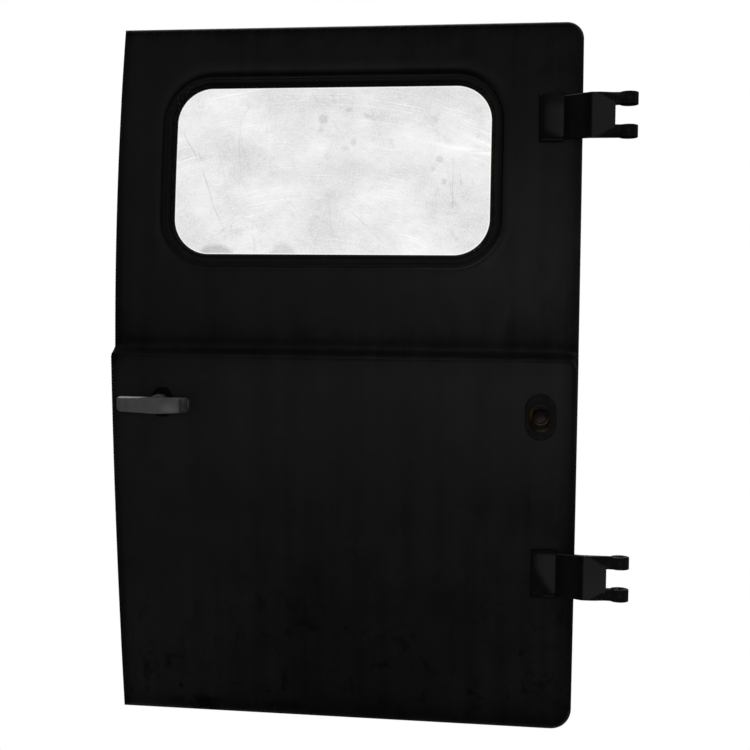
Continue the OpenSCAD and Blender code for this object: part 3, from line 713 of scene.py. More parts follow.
def glass_film():
    """Old scratched glass: clear, with a pale film, wiped arcs, steep dark scratches and grime."""
    mat, nt, bsdf = new_material("scratched_glass")
    x, _, z = coords(nt)
    cloud = ramp(noise(nt, 7, 5.0, 0.66, mapped(nt, (1, 1, 1.5))), (0.34, 0.03), (0.64, 0.165))
    grain = ramp(noise(nt, 420, 4.0, 0.75), (0.32, 0.3), (0.68, 1.7))
    # concentric fine arcs round a point under the window
    cx, cz = x - (WIN_X + WIN_W * 0.45) * MM, z - (WIN_Z - 520) * MM
    rad, ang = hypot(cx, cz), calc("ARCTAN2", cx, cz)
    arcs = ramp(noise(nt, 1.0, 3.0, 0.75, flat_vector(nt, rad * 330.0, ang * 4.0, 1)), (0.54, 0.0), (0.64, 1.0))
    arcs = arcs * ramp(noise(nt, 9, 3.0, 0.5), (0.42, 0.0), (0.62, 1.0))
    haze = ramp(noise(nt, 1.0, 2.0, 0.6, flat_vector(nt, rad * 900.0, ang * 40.0, 1)), (0.35, 0.0), (0.7, 1.0))
    steep = larger(scratches(nt, -14, 150, 22, 0.07, 0.6, 0.4), scratches(nt, 22, 140, 20, 0.06, 0.55, 2.9))
    steep = larger(steep, scratches(nt, -52, 190, 14, 0.08, 0.4, 7.7))
    grime_and_painted_light = ramp(noise(nt, 38, 5.0, 0.7, mapped(nt, (1, 1, 0.8)), 0.7), (0.6, 0.0), (0.72, 1.0))
    alpha = calc("SUBTRACT", cloud * grain + haze * 0.05, arcs * 0.10, True)
    alpha = calc("ADD", alpha + steep * 0.10, grime_and_painted_light * 0.12, True)
    # pale wiped streaks at the right
    across = z - ((x - (WIN_X + 470) * MM) * -0.19 + (WIN_Z + 196) * MM)
    streak = ramp(abs(across) * 70.0, (0.1, 1.0), (0.5, 0.0))
    streak = streak * ramp(noise(nt, 1.0, 2.0, 0.6, mapped(nt, (9, 1, 260))), (0.35, 0.1), (0.55, 1.0))
    streak = streak * ramp(x - (WIN_X + 440) * MM, (0.0, 0.0), (0.06, 1.0))
    alpha = darken(alpha, streak, 0.9)
    colour = mix(nt, larger(grime_and_painted_light, steep), (0.42, 0.42, 0.41), (0.12, 0.12, 0.12))
    # larger smears
    blur = (noise(nt, 90, 4.0, 0.7) - 0.5) * 1.6
    for mx, mz, rx, rz, k, rag in GLASS_MARKS:
        spot = ramp(ellipse(x, z, WIN_X + mx, WIN_Z + mz, rx, rz) + blur * rag, (0.7, 1.0), (1.15, 0.0))
        alpha = calc("ADD", alpha, spot * k, True)
        colour = mix(nt, spot * 0.6, colour, (0.1, 0.1, 0.1))
    # single long scratches, each drawn as a thin line between two places on the pane
    wander = (noise(nt, 14, 1.0, 0.5) - 0.5) * 0.016
    broken = ramp(noise(nt, 55, 2.0, 0.6), (0.35, 0.25), (0.6, 1.0))
    for x0, z0, x1, z1, k in GLASS_LINES:
        n = math.hypot(x1 - x0, z1 - z0)
        ux, uz = (x1 - x0) / n, (z1 - z0) / n
        lx, lz = x - (WIN_X + x0) * MM, z - (WIN_Z + z0) * MM
        off = lx * uz - lz * ux + wander
        on = ramp(abs(off) * 400.0, (0.08, 1.0), (0.36, 0.0)) * broken
        ends = ramp((lx * ux + lz * uz) / (n * MM), (0.0, 0.0), (0.08, 1.0), (0.85, 0.8), (1.0, 0.0))
        on = on * ends * k
        alpha = calc("ADD", alpha, on * 0.32, True)
        colour = mix(nt, on, colour, (0.10, 0.10, 0.10))
    # the dark line where the glass enters the rubber, from the distance outside the clear glass
    r = WIN_R * MM
    qx = abs(x - (WIN_X + WIN_W / 2) * MM) - (WIN_W / 2 * MM - r)
    qz = abs(z - (WIN_Z + WIN_H / 2) * MM) - (WIN_H / 2 * MM - r)
    out = hypot(larger(qx, 0.0), larger(qz, 0.0)) + calc("MINIMUM", larger(qx, qz), 0.0) - r
    rim = (out + 0.004) * 250.0
    clear = ramp(rim, (0.0, 1.0), (0.2, 0.25), (0.5, 0.2))
    rim = ramp(rim, (0.52, 0.0), (0.72, 1.0))
    dress(bsdf, Base_Color=mix(nt, rim, colour, (0.002, 0.002, 0.002)), Alpha=larger(alpha * clear, rim),
          Roughness=0.25, Specular_IOR_Level=0.3)
    return mat


def rubber():
    """Weathered window rubber; its lanes of painted light and shade, its green growth and pale flecks come from its
    points.
    """
    mat, nt, bsdf = new_material("window_rubber")
    # the lane value is painted light and shade across the rubber's lips
    tone = ramp(noise(nt, 30, 5.0, 0.6), (0.3, 0.85), (0.7, 1.15)) * (attr(nt, "lane_shading") * 0.2)
    base = mix(nt, tone, (0, 0, 0), (0.036, 0.036, 0.0365))
    moss = ramp(noise(nt, 70, 6.0, 0.72), (0.44, 0.0), (0.62, 1.0))
    base = mix(nt, moss * attr(nt, "moss"), base, (0.019, 0.018, 0.0095))
    fleck = ramp(noise(nt, 210, 3.0, 0.75), (0.57, 0.0), (0.65, 1.0))
    base = mix(nt, fleck * attr(nt, "fleck"), base, (0.105, 0.10, 0.085))
    dress(bsdf, Base_Color=base, Specular_IOR_Level=0.07,
          Roughness=ramp(noise(nt, 60, 3.0, 0.6), (0.3, 0.6), (0.7, 0.8)))
    bump(nt, bsdf, noise(nt, 500, 3.0, 0.65), 0.2, 0.0003)
    return mat


def metal(name, colour, dark, rough=(0.4, 0.6), metallic=0.6, scale=70, grime_and_painted_light=0.5, wear_and_shade=None):
    """Worn metal with dark spots and fine scratches."""
    mat, nt, bsdf = new_material(name)
    base = mix(nt, ramp(noise(nt, 24, 5.0, 0.6), (0.3, 0.82), (0.7, 1.15)), (0, 0, 0), colour)
    spots = ramp(noise(nt, scale, 6.0, 0.72), (0.5, 0.0), (0.66, 1.0))
    base = mix(nt, spots * grime_and_painted_light, base, dark)
    line = larger(scratches(nt, 80, 260, 14, 0.08, 0.25, 1.1), scratches(nt, 20, 300, 9, 0.07, 0.2, 4.4))
    base = mix(nt, line * 0.35, base, tuple(min(1, c * 1.8) for c in colour))
    # a piece may bring its lightness from its points, which carry painted light and shade
    if wear_and_shade:
        base = scaled(nt, base, attr(nt, wear_and_shade))
    dress(bsdf, Base_Color=base, Metallic=metallic,
          Roughness=ramp(noise(nt, 90, 4.0, 0.6), (0.3, rough[0]), (0.7, rough[1])))
    bump(nt, bsdf, noise(nt, 700, 3.0, 0.6) - spots * 0.4, 0.25, 0.0003)
    return mat


def tinted(name, rough, spec, scale):
    """Takes its colour from the piece's own tint and breaks it up with spots."""
    mat, nt, bsdf = new_material(name)
    a = noise(nt, scale, 6.0, 0.7, None, 0.5)
    spots = ramp(a, (0.32, 0.6), (0.5, 1.0), (0.68, 1.5))
    dress(bsdf, Base_Color=mix(nt, 1.0, attr(nt, "tint", "Color"), spots, "MULTIPLY"), Roughness=rough,
          Specular_IOR_Level=spec)
    bump(nt, bsdf, a, 0.4, 0.0004)
    return mat


M_PAINT = paint_black()
M_INNER = simple_paint("inner_paint", (0.0075, 0.0075, 0.0076), (0.020, 0.019, 0.018), (0.5, 0.68), 0.2, 30)
# the straps' paint takes painted light and shade from their points
M_HINGE = simple_paint("hinge_paint", (0.0052, 0.0052, 0.0053), (0.014, 0.0135, 0.0125), (0.5, 0.65), 0.045, 70,
                       0.2, "wear_and_shade")
M_MATT = simple_paint("matt_hinge_paint", (0.0062, 0.0060, 0.0058), (0.014, 0.0125, 0.011), (0.8, 0.95), 0.0, 70, 0.2)
M_PEG = simple_paint("peg_paint", (0.014, 0.014, 0.014), (0.02, 0.02, 0.019), (0.45, 0.6), 0.08, 200, 0.2)
M_RUBBER = rubber()
M_GLASS = glass_film()
M_BUSH = simple_paint("bush_metal", (0.013, 0.0125, 0.0115), (0.009, 0.007, 0.006), (0.8, 0.95), 0.0, 70)
# near-black: partly the plastic's colour, partly painted shadow round the handle's hub
M_PLASTIC_AND_SHADOW = simple_paint("dark_plastic", (0.0016, 0.0016, 0.0016), (0.006, 0.006, 0.006), (0.55, 0.75), 0.05, 80)
M_HANDLE = metal("handle_metal", (0.100, 0.100, 0.101), (0.060, 0.059, 0.058), (0.42, 0.6), 0.25, 60, 0.4, "wear_and_shade")
M_STEEL = metal("plain_steel", (0.16, 0.155, 0.145), (0.05, 0.035, 0.025), (0.35, 0.55), 0.85, 60, 0.6)
M_RUST = tinted("rusty_steel", 0.8, 0.05, 190)
M_CUP = tinted("catch_metal", 0.6, 0.08, 230)
M_PLATE = tinted("catch_plate_paint", 0.6, 0.05, 60)

# ---- skin ----
verts, faces = skin_mesh()
skin = add_mesh("pressed_skin", verts, faces, M_PAINT, "black_paint", parts=("outer_skin",))


def sides(x, z):
    """How much a place beside the window belongs to its top, left, right and bottom side."""
    gx = window_distance(x + 0.5, z) - window_distance(x - 0.5, z)
    gz = window_distance(x, z + 0.5) - window_distance(x, z - 0.5)
    n = max(1e-6, gx * gx + gz * gz)
    return [max(0.0, v) ** 2 / n for v in (gz, -gx, gx, -gz)]


def bead_shading(x, z):
    """The swage round the window: painted shade in its groove and a painted highlight on its crest, a little
    different on each side as the light falls.
    """
    o = window_distance(x, z)
    if o < 14 or o > 48:
        return 1.0
    rows = (
        [(14, 1), (17, 0.72), (20, 0.6), (21.2, 0.45), (22, 0.16), (23, 0.2), (24.2, 0.5), (27, 0.6), (29.5, 0.95),
         (33, 1.4), (38, 1.5), (44, 1.25), (48, 1.0)],
        [(14, 1), (17, 0.8), (19.5, 0.62), (21, 0.4), (22.2, 0.3), (24, 0.6), (26.5, 1.2), (29.5, 1.5), (34, 1.35),
         (42, 1.0)],
        [(14, 1), (16.3, 0.8), (17.5, 0.2), (19.4, 0.24), (20.8, 0.85), (24, 0.95), (28, 0.88), (36, 1.0)],
        [(14, 1), (17, 1.0), (19.4, 0.95), (20.2, 0.12), (21.3, 0.15), (22.1, 1.6), (23.4, 1.2), (25, 0.85),
         (29, 0.9), (33, 1.0)],
    )
    w = sides(x, z)
    v = sum(k * table(o, r) for k, r in zip(w, rows))
    # a brighter painted highlight along the bottom side's groove, growing towards the right
    if 20.6 < o < 23.0 and w[3] > 0.15 and x > WIN_X + WIN_W * 0.6:
        v *= 1 + 2.0 * smooth((x - WIN_X - WIN_W * 0.6) / 150) * smooth(1 - abs(o - 21.9) / 1.2)
    return v


def grime_and_painted_light(x, z):
    """How light the paint is at a place, all painted light and shade: a painted sheen that rises and falls up the
    leaf, painted highlights on the rolled rims and corners, painted shade inside the rims, in the step and round the
    window bead.
    """
    up, inx = z - Z_LOW, x - X_LEFT
    rin, down = LEAF_W - inx, LEAF_H - up
    # painted sheen and shade: the lightness rises and falls with the height up the bowed face
    field = table(up, [(0, 0.7), (14, 0.62), (30, 0.74), (60, 0.92), (200, 1.02), (300, 1.06), (400, 1.17),
                       (500, 1.32), (620, 1.42), (690, 0.92),
                       (740, 1.1), (820, 1.36), (950, 1.42), (1200, 1.26), (1250, 1.1)])
    # painted sheen: a broad lighter lobe in the middle of the leaf, stronger to the right
    sheen_lobe = smooth((up - 380) / 180) * (1 - smooth((up - 900) / 200))
    field *= 1 + 0.30 * sheen_lobe * smooth((inx - 40) / 200)
    # painted shade in a few broad darker patches
    if up < 90:
        field *= 1 - 0.1 * smooth((inx - 560) / 230) * smooth((90 - up) / 60 if up > 30 else 1.0)
    if up < 330:
        field *= 1 - 0.14 * smooth((330 - up) / 120 if up > 210 else 1.0) * smooth((inx - 260) / 120)
    if 676 < up < 800:
        field *= 1 - 0.15 * smooth((inx - 460) / 150) * smooth((800 - up) / 40)
    if 654 < up < 670:
        field *= 1 - 0.16 * smooth((inx - 200) / 120) * smooth((720 - inx) / 120)
    # painted shade and highlights along the edges: thin light lines on the rolled edges, darker bands just inside
    # them
    left = table(inx, [(0, 1.3), (1.5, 1.2), (3, 0.72), (8, 0.62), (18, 1.05), (40, 1.12), (110, 1.1), (300, 1.0)])
    near = table(up, [(0, 0.85), (100, 0.7), (200, 0.66), (300, 0.6), (400, 0.58), (500, 0.5), (600, 0.42),
                      (640, 0.48), (700, 0.6), (750, 0.54),
                      (800, 0.46), (1000, 0.5), (1100, 0.6), (1205, 0.74)])
    more = table(up, [(0, 0.95), (100, 0.85), (200, 0.8), (300, 0.76), (400, 0.76), (500, 0.56), (600, 0.48),
                      (640, 0.58), (700, 0.84), (750, 0.7),
                      (800, 0.58), (1000, 0.66), (1100, 0.76), (1205, 0.86)])
    line = 0.8 if up < 600 else 2.0
    right = table(rin, [(0, line), (1.7, line), (2.6, near), (8, near), (15, more), (26, (1 + more) / 2), (42, 1.0)])
    top = table(down, [(0, 9.0), (1.8, 8.0), (3.0, 1.6), (4.6, 0.45), (7, 0.45), (10, 0.75), (22, 0.92), (45, 1.0)])
    top = top if down > 3.2 else 1 + (top - 1) * (0.45 + 0.55 * smooth(inx / LEAF_W))
    low = table(up, [(0, 0.6), (1.0, 2.6), (3.2, 2.6), (5.0, 1.0), (9, 0.9), (30, 1.0)])
    dip = shoulder_dip(x)
    w = up + dip * (0.4 + 0.6 * min(1, max(0, (675 - up) / 19)))
    # painted shade in the waist step, with a thin painted highlight on its lip
    step = table(w, [(630, 1.0), (652, 0.95), (657, 0.75), (663, 0.72), (667, 0.75), (669, 0.72), (671.5, 0.72),
                     (674, 0.85), (677, 0.84),
                     (681, 0.66), (686, 0.6), (698, 0.84), (715, 0.9), (740, 1.0)])
    if rin < 20 and up < 675:
        step = 1 + (step - 1) * max(0.0, (rin - 6) / 14)
    if inx < 20 and 645 < w < 680:
        step *= 0.55 + 0.45 * inx / 20
    d = edge_distance(x, z)
    # painted highlights and shade round the two rounded corners on the hinge side
    if rin < CORNER_TOP and down < CORNER_TOP:
        w = table(d, [(0, 9.0), (1.8, 8.0), (3.2, 2.0), (4.6, 0.9), (7, 0.72), (10, 0.84), (22, 1.05), (45, 1.15)])
        return w if d < 4 else w + (field * right * top - w) * min(1.0, (d - 4) / 3)
    if rin < CORNER_LOW and up < CORNER_LOW:
        w = table(d, [(0, 1.2), (1.0, 4.0), (3.0, 3.4), (5.0, 0.5), (12, 0.36), (25, 0.48), (40, 0.52)])
        return w if d < 4 else w + (field * right * low - w) * min(1.0, (d - 4) / 3)
    return field * left * right * top * low * step * bead_shading(x, z)


# the face's points get the painted light and shade, the back and the turned edge a flat 0.95
point_values(skin, ["rim"], lambda x, y, z: grime_and_painted_light(x, z) if y < face_y(z) + 6 else 0.95)

# ---- window rubber, strip and glass ----


def ring_on_face(profile):
    """Sweeps (distance outside the clear glass, depth behind the face) round the window."""
    paths = [window_path(o) for o, _ in profile]
    loops = [[(paths[k][i][0], up_y(paths[k][i][1]) + profile[k][1], paths[k][i][1])
              for k in range(len(profile))] for i in range(len(paths[0]))]
    return loft(loops, closed=True)


rubber_profile = [
    (0.0, 1.2), (-0.1, -0.8), (0.0, -2.6), (0.5, -3.7), (1.4, -4.2), (2.4, -4.25), (3.3, -3.9), (3.9, -3.2), (4.2,
            -2.2),
    (8.8, -2.0), (13.3, -2.2), (13.5, -3.3), (14.0, -4.2), (14.9, -4.4), (15.8, -4.1), (16.5, -3.2), (16.9,
            -1.8), (17.0, -0.3),
    (9.7, -0.3), (9.7, 3.6), (14.0, 3.6), (14.3, 6.0), (13.8, 9.0), (12.4, 10.3), (9.5, 10.6), (4.0, 10.4),
    (1.2, 9.8), (0.2, 8.6), (0.0, 6.8), (7.3, 6.8), (7.3, 1.2),
]
seal = add_mesh("window_rubber", *ring_on_face(rubber_profile), M_RUBBER, "seal_rubber", parts=("window_seal",),
                sharp=50)
strip_profile = [(4.3, -2.5), (4.35, -3.4), (4.9, -3.9), (6.5, -4.3), (9.2, -4.5), (11.8, -4.4), (12.9, -4.2),
                 (13.2, -3.8), (13.25, -2.5)]
strip = add_mesh("rubber_filler_strip", *ring_on_face(strip_profile), M_RUBBER, "seal_rubber",
                 parts=("seal_filler_strip",), sharp=50)


def rubber_shade_and_growth(x, z):
    """Painted light and shade, green growth and pale flecks of the rubber at a place round the window."""
    o = window_distance(x, z)
    gx = window_distance(x + 0.5, z) - window_distance(x - 0.5, z)
    gz = window_distance(x, z + 0.5) - window_distance(x, z - 0.5)
    # painted light and shade across the rubber, one row for each side (top, left, right, bottom)
    rows = (
        [(0, 0.15), (1.0, 0.5), (3.8, 0.65), (4.6, 0.35), (6.5, 0.35), (8, 0.8), (9, 1.15), (15, 1.25), (17.2, 1.1)],
        [(0, 0.3), (1.2, 0.6), (3.8, 0.7), (5.5, 0.6), (8, 1.0), (10, 1.2), (15, 1.2), (17.2, 1.1)],
        [(0, 0.1), (1.2, 1.0), (6, 1.2), (9, 1.35), (14, 1.35), (16, 1.0), (17.2, 0.4)],
        [(0, 0.1), (1.0, 1.0), (2.5, 1.4), (4.0, 1.1), (6, 1.2), (11, 1.45), (17.2, 1.45)],
    )
    tone = sum(k * table(o, r) for k, r in zip(sides(x, z), rows))
    moss = smooth(gx) * (1.0 - smooth((o - 5) / 5)) * 0.9
    moss = max(moss, 0.4 * smooth(-gx) * (1 - smooth(o / 9)))
    corner = abs(gx * gz) * 2
    fleck = corner * ((0.65 if gx < 0 else 1.2) if gx * gz < 0 else 0.2)
    fleck *= 0.8 if o < 3.5 or (gx < 0 and o < 14) else 0.05
    return tone, moss, fleck


# the rubber's points get painted light and shade, green growth and pale flecks
for ob in (seal, strip):
    point_values(ob, ["lane_shading", "moss", "fleck"], lambda x, y, z: rubber_shade_and_growth(x, z))


def pane():
    """The glass, its edge inside the rubber."""
    P = Points()
    rim = window_path(GLASS_OUT, 12, 30.0)
    P.loop(rim)
    z = WIN_Z + 10
    while z < WIN_Z + WIN_H - 5:
        x = WIN_X + 10
        while x < WIN_X + WIN_W - 5:
            if window_distance(x, z) < 0:
                P.add(x, z, 10.0)
            x += 30.0
        z += 16.0
    flat, tris = flat_triangles(P, lambda x, z: window_distance(x, z) > GLASS_OUT)
    n = len(flat)
    verts = [(x, up_y(z) + GLASS_BACK + t, z) for t in (0, GLASS_T) for x, z in flat]
    faces = tris + [tuple(n + i for i in reversed(t)) for t in tris]
    m = len(rim)
    faces += [(k, n + k, n + (k + 1) % m, (k + 1) % m) for k in range(m)]
    return verts, faces


add_mesh("window_pane", *pane(), M_GLASS, "glass", parts=("window_glass",))

# ---- hinge straps ----
FLAT_X = BEND_X + CRANK_W
ARM_Y = -KNUCKLE_D / 2 + ARM_BACK


def strap_section(x, zc, face):
    """One section of a strap across X: a loop of (x, y, z)."""
    def plate_y(z):
        return face(zc + z) - GAP - PLATE_T
    k = min(1.0, max(0.0, (x - BEND_X) / CRANK_W))
    more = PLATE_MORE * (1 - smooth((x - (BEND_X - 3)) / 3.0)) if x > BEND_X - 3 else PLATE_MORE
    h = EAR_H / 2 + more
    end = 1.0
    if x < PLATE_X + 1.2:
        end = max(0.35, math.sqrt(max(0.0, 1 - (1 - (x - PLATE_X) / 1.2) ** 2)))
    grow = smooth((x - (-SLOT_BACK - 27)) / 27.0)
    bz = 1.0 + 11.0 * grow
    by = 1.0 + 5.5 * grow

    def yf(z):
        return plate_y(z) * (1 - k) + ARM_Y * k + (1 - end) * 2.0

    def yb(z):
        return (face(zc + z) - GAP) * (1 - k) + (ARM_Y + ARM_T) * k

    loop = [(x, yb(-h) - 0.8, -h), (x, yf(-h) + by, -h), (x, yf(-h) + by * 0.4, -h + bz * 0.35)]
    n = 56
    loop += [(x, yf(-h + bz + (2 * h - 2 * bz) * i / n), -h + bz + (2 * h - 2 * bz) * i / n) for i in range(n + 1)]
    loop += [(x, yf(h) + by * 0.4, h - bz * 0.35), (x, yf(h) + by, h), (x, yb(h) - 0.8, h)]
    loop += [(x, yb(h - 0.8 - (2 * h - 1.6) * i / n), h - 0.8 - (2 * h - 1.6) * i / n) for i in range(n + 1)]
    return [(p[0], p[1], p[2] + zc) for p in loop]


def strap_wear_and_shade(x, z, lower):
    """Lightness of the strap's paint, painted light and shade: lighter on the plate and the flat, which face the
    light, darker on the crank and arms, which turn from it, with painted highlights on the top edges and painted
    shade along the plate's edges.
    """
    h = EAR_H / 2
    # the plates: lighter to the right, with painted shade and thin painted highlights along their edges
    if lower and x < BEND_X - 0.5:
        t = (x - PLATE_X) / PLATE_W
        a = table(t, [(0, 0.15), (0.07, 0.3), (0.1, 1.3), (0.16, 0.6), (0.26, 2.6), (0.6, 3.2), (0.95, 3.4),
                      (1.0, 1.6)])
        b = smooth((39 - z) / 6) * smooth((z - 11 + 49 * (max(0.0, t - 0.22) / 0.78) ** 0.75 + 10) / 20)
        w = 0.55 + a * (b if t > 0.13 else 1.0)
        low = z + h + PLATE_MORE
        if low < 1.6:
            return 0.5 if t < 0.6 else 0.1
        if low < 4.5:
            return w if t < 0.55 else 2.0
        if low < 8 and t > 0.6:
            return 0.3
        if z > h + PLATE_MORE - 1.6:
            return 0.2 if t < 0.25 else 1.3
        return w
    if x < BEND_X - 0.5:
        t = (x - PLATE_X) / PLATE_W
        low = z + h + PLATE_MORE
        a = table(t, [(0, 0.1), (0.05, 0.2), (0.2, 0.4), (0.32, 2.2), (0.45, 3.0), (0.7, 3.6), (0.95, 4.6),
                      (1.0, 3.0)])
        b = (0.3 + 0.7 * smooth((34 - z) / 26)) * smooth((z + 36 + 10 * t - 10 * (1 - t)) / 20)
        w = 0.45 + a * b
        if low < 1.6:
            w = 0.1
        elif low < 5.0:
            w = 2.0 if t > 0.12 and low > 2.4 else 0.5
        elif low < 8.0:
            w = 0.15
        if z > h + PLATE_MORE - 1.6:
            w = 0.35
        if t < 0.12 and h - 1 < z < h + PLATE_MORE:
            w = 2.4
        return w
    if x < FLAT_X - 0.5:
        # a painted highlight along the crank's top edge, the crank's face darker: painted shade
        if z > h - 1.5:
            k = 0.6 if lower else 1.0
            return k * table(x - BEND_X, [(0, 3.0), (4, 8.0), (26, 9.0), (34, 4.0), (44, 0.8)])
        return table(x - BEND_X, [(0, 0.3), (6, 0.3), (12, 0.8), (32, 0.95), (38, 0.5), (44, 0.3)])
    # the flat lighter and the arms darker towards the knuckles: painted light and shade
    line = h - 1 - (h - 1 - SLOT_H / 2 - 4) * min(1.0, max(0.0, (x - FLAT_X - 8) / 26))
    w = 4.4 - 3.5 * smooth((abs(z) - line) / 5.0)
    if x < FLAT_X + 1.5:
        w = 0.6
    if x > -SLOT_BACK + 2:
        w = 1.2 + 1.0 * smooth((x - 5) / 9)
        if -17 < x < -9 and z > h - 3:
            w = 2.2
    return w


def arm(zc, s):
    """A fork arm from the root to the knuckle; s is 1 for the upper and -1 for the lower."""
    loops = []
    for x in (-SLOT_BACK - 1.0, -SLOT_BACK + 4, -14.0, -8.0, -2.0):
        t = smooth((x + SLOT_BACK) / 18.0)
        bz, by = 12.0 - 1.0 * t, 6.5 - 1.5 * t
        lo, hi = SLOT_H / 2, EAR_H / 2
        yf, yb = ARM_Y, ARM_Y + ARM_T
        loop = [(x, yb, lo + 0.8), (x, yb - 0.8, lo), (x, yf + 0.8, lo), (x, yf, lo + 0.8),
                (x, yf, hi - bz), (x, yf + by * 0.4, hi - bz * 0.35), (x, yf + by, hi), (x, yb - 0.8, hi), (x, yb,
                        hi - 0.8)]
        if s < 0:
            loop = [(p[0], p[1], -p[2]) for p in reversed(loop)]
        loops.append([(p[0], p[1], p[2] + zc) for p in loop])
    return loft(loops)


def knuckle(z0):
    """An eye of the strap, bored for its bush."""
    ro, ri, b = KNUCKLE_D / 2, PIN_HOLE / 2 + BUSH_T, 1.1
    prof = [(ri, 0.4), (ri + 0.4, 0), (ro - b, 0), (ro - b * 0.3, b * 0.3), (ro, b), (ro, KNUCKLE_H - b),
            (ro - b * 0.3, KNUCKLE_H - b * 0.3), (ro - b, KNUCKLE_H), (ri + 0.4, KNUCKLE_H), (ri, KNUCKLE_H - 0.4)]
    v, f = lathe_y(prof, 72)
    return [(x, -z, z0 + y) for x, y, z in v], f


for name, i, face in (("lower", 0, low_y), ("upper", 1, up_y)):
    zc = Z_HINGE[i]
    xs = sorted({at + d for at, steps in (
        (PLATE_X, (0, 0.3, 0.7, 1.2, 6, 12, 18, 25, 31, 36)), (BEND_X, (-3, -1.2, 0, 1.2, 8, 15, 22, 27)),
        (FLAT_X, (-8, -1.2, 0, 1.2, 4)), (-SLOT_BACK, (-27, -20, -13, -7, -2, 0))) for d in steps})
    body = loft([strap_section(x, zc, face) for x in xs])
    parts = [body, arm(zc, 1), arm(zc, -1), knuckle(zc - EAR_H / 2), knuckle(zc + SLOT_H / 2)]
    ob = add_mesh(name + "_strap", *join(parts), M_HINGE, "hinge_paint", parts=(name + "_hinge_strap",), sharp=28)
    # the knuckles' tops are rusted matt, so they don't mirror the background
    ob.data.materials.append(M_MATT)
    for poly in ob.data.polygons:
        if poly.normal.z > 0.5 and poly.center.x > -SLOT_BACK * MM:
            poly.material_index = 1
    # painted light and shade on the strap's paint
    point_values(ob, ["wear_and_shade"], lambda x, y, z: strap_wear_and_shade(x, z - zc, name == "lower"))
    # small pegs that lock the bushes, seen as bright dots on the knuckles
    pegs = []
    for zk in (zc - EAR_H / 2 + KNUCKLE_H / 2, zc + SLOT_H / 2 + KNUCKLE_H / 2):
        peg = lathe_y([(0.0, -0.6), (1.3, -0.5), (2.0, -0.2), (2.3, 0.6), (0.0, 0.6)], 20, closed=False)
        pegs.append(turned(peg, Matrix.Translation((0, -KNUCKLE_D / 2 + 0.3, zk))))
    add_mesh(name + "_bush_pegs", *join(pegs), M_PEG, "hinge_paint", sharp=30)

# ---- handle ----
PLACE = on_face(HANDLE_X, HANDLE_Z)


def grip():
    """The T grip, lofted along its length."""
    a, b = -GRIP_W / 2 - GRIP_OFF, GRIP_W / 2 - GRIP_OFF
    top = GRIP_END_H / 2 + 1
    # a circle drawn out towards a square
    square = [[math.copysign(abs(c) ** 0.36, c) for c in (math.cos(t), math.sin(t))]
              for t in (2 * math.pi * k / 44 for k in range(44))]
    loops = []
    n = 60
    for i in range(n + 1):
        s = i / n
        x = a + (b - a) * (0.45 * (1 - math.cos(math.pi * s)) / 2 + 0.55 * s)
        e = min(x - a, b - x)
        far_end = x / (b if x > 0 else -a)
        h = GRIP_END_H + (GRIP_H - GRIP_END_H) * max(0.0, 1 - abs(far_end)) ** 0.8
        # rounded ends seen from the front and from above
        cut = quarter(e, 7.0, 7.0)
        zt, zb = top - cut, top - h + cut
        curl = quarter(e, GRIP_T - 3, GRIP_T - 3)
        yf = -GRIP_OUT + curl * 0.98 + 0.6 * ((x + GRIP_OFF) / (GRIP_W / 2)) ** 2
        yb = -GRIP_OUT + GRIP_T - (0.0 if e > 5 else quarter(e, 5.0, 1.0))
        yf = min(yf, yb - 0.6)
        loops.append([(x, (yf + yb) / 2 + u * (yb - yf) / 2, (zt + zb) / 2 + v * (zt - zb) / 2) for u, v in square])
    return loft(loops)


hub = lathe_y([(0.0, -GRIP_OUT + GRIP_T - 4), (HUB_D / 2 - 1.2, -GRIP_OUT + GRIP_T - 4),
               (HUB_D / 2, -GRIP_OUT + GRIP_T - 2.8),
               (HUB_D / 2 - 0.3, -HUB_BACK - 3.0), (HUB_D / 2 - 1.2, -HUB_BACK - 0.8), (HUB_D / 2 - 3.0, -HUB_BACK),
               (STEM_D / 2, -HUB_BACK), (STEM_D / 2, 3.4), (STEM_D / 2 - 0.6, 4.0), (0.0, 4.0)], 56, closed=False)
grip_ob = add_mesh("turning_grip", *join([grip(), hub]), M_HANDLE, "handle_metal", body="handle", sharp=40,
                   parts=("handle_grip",), place=PLACE)


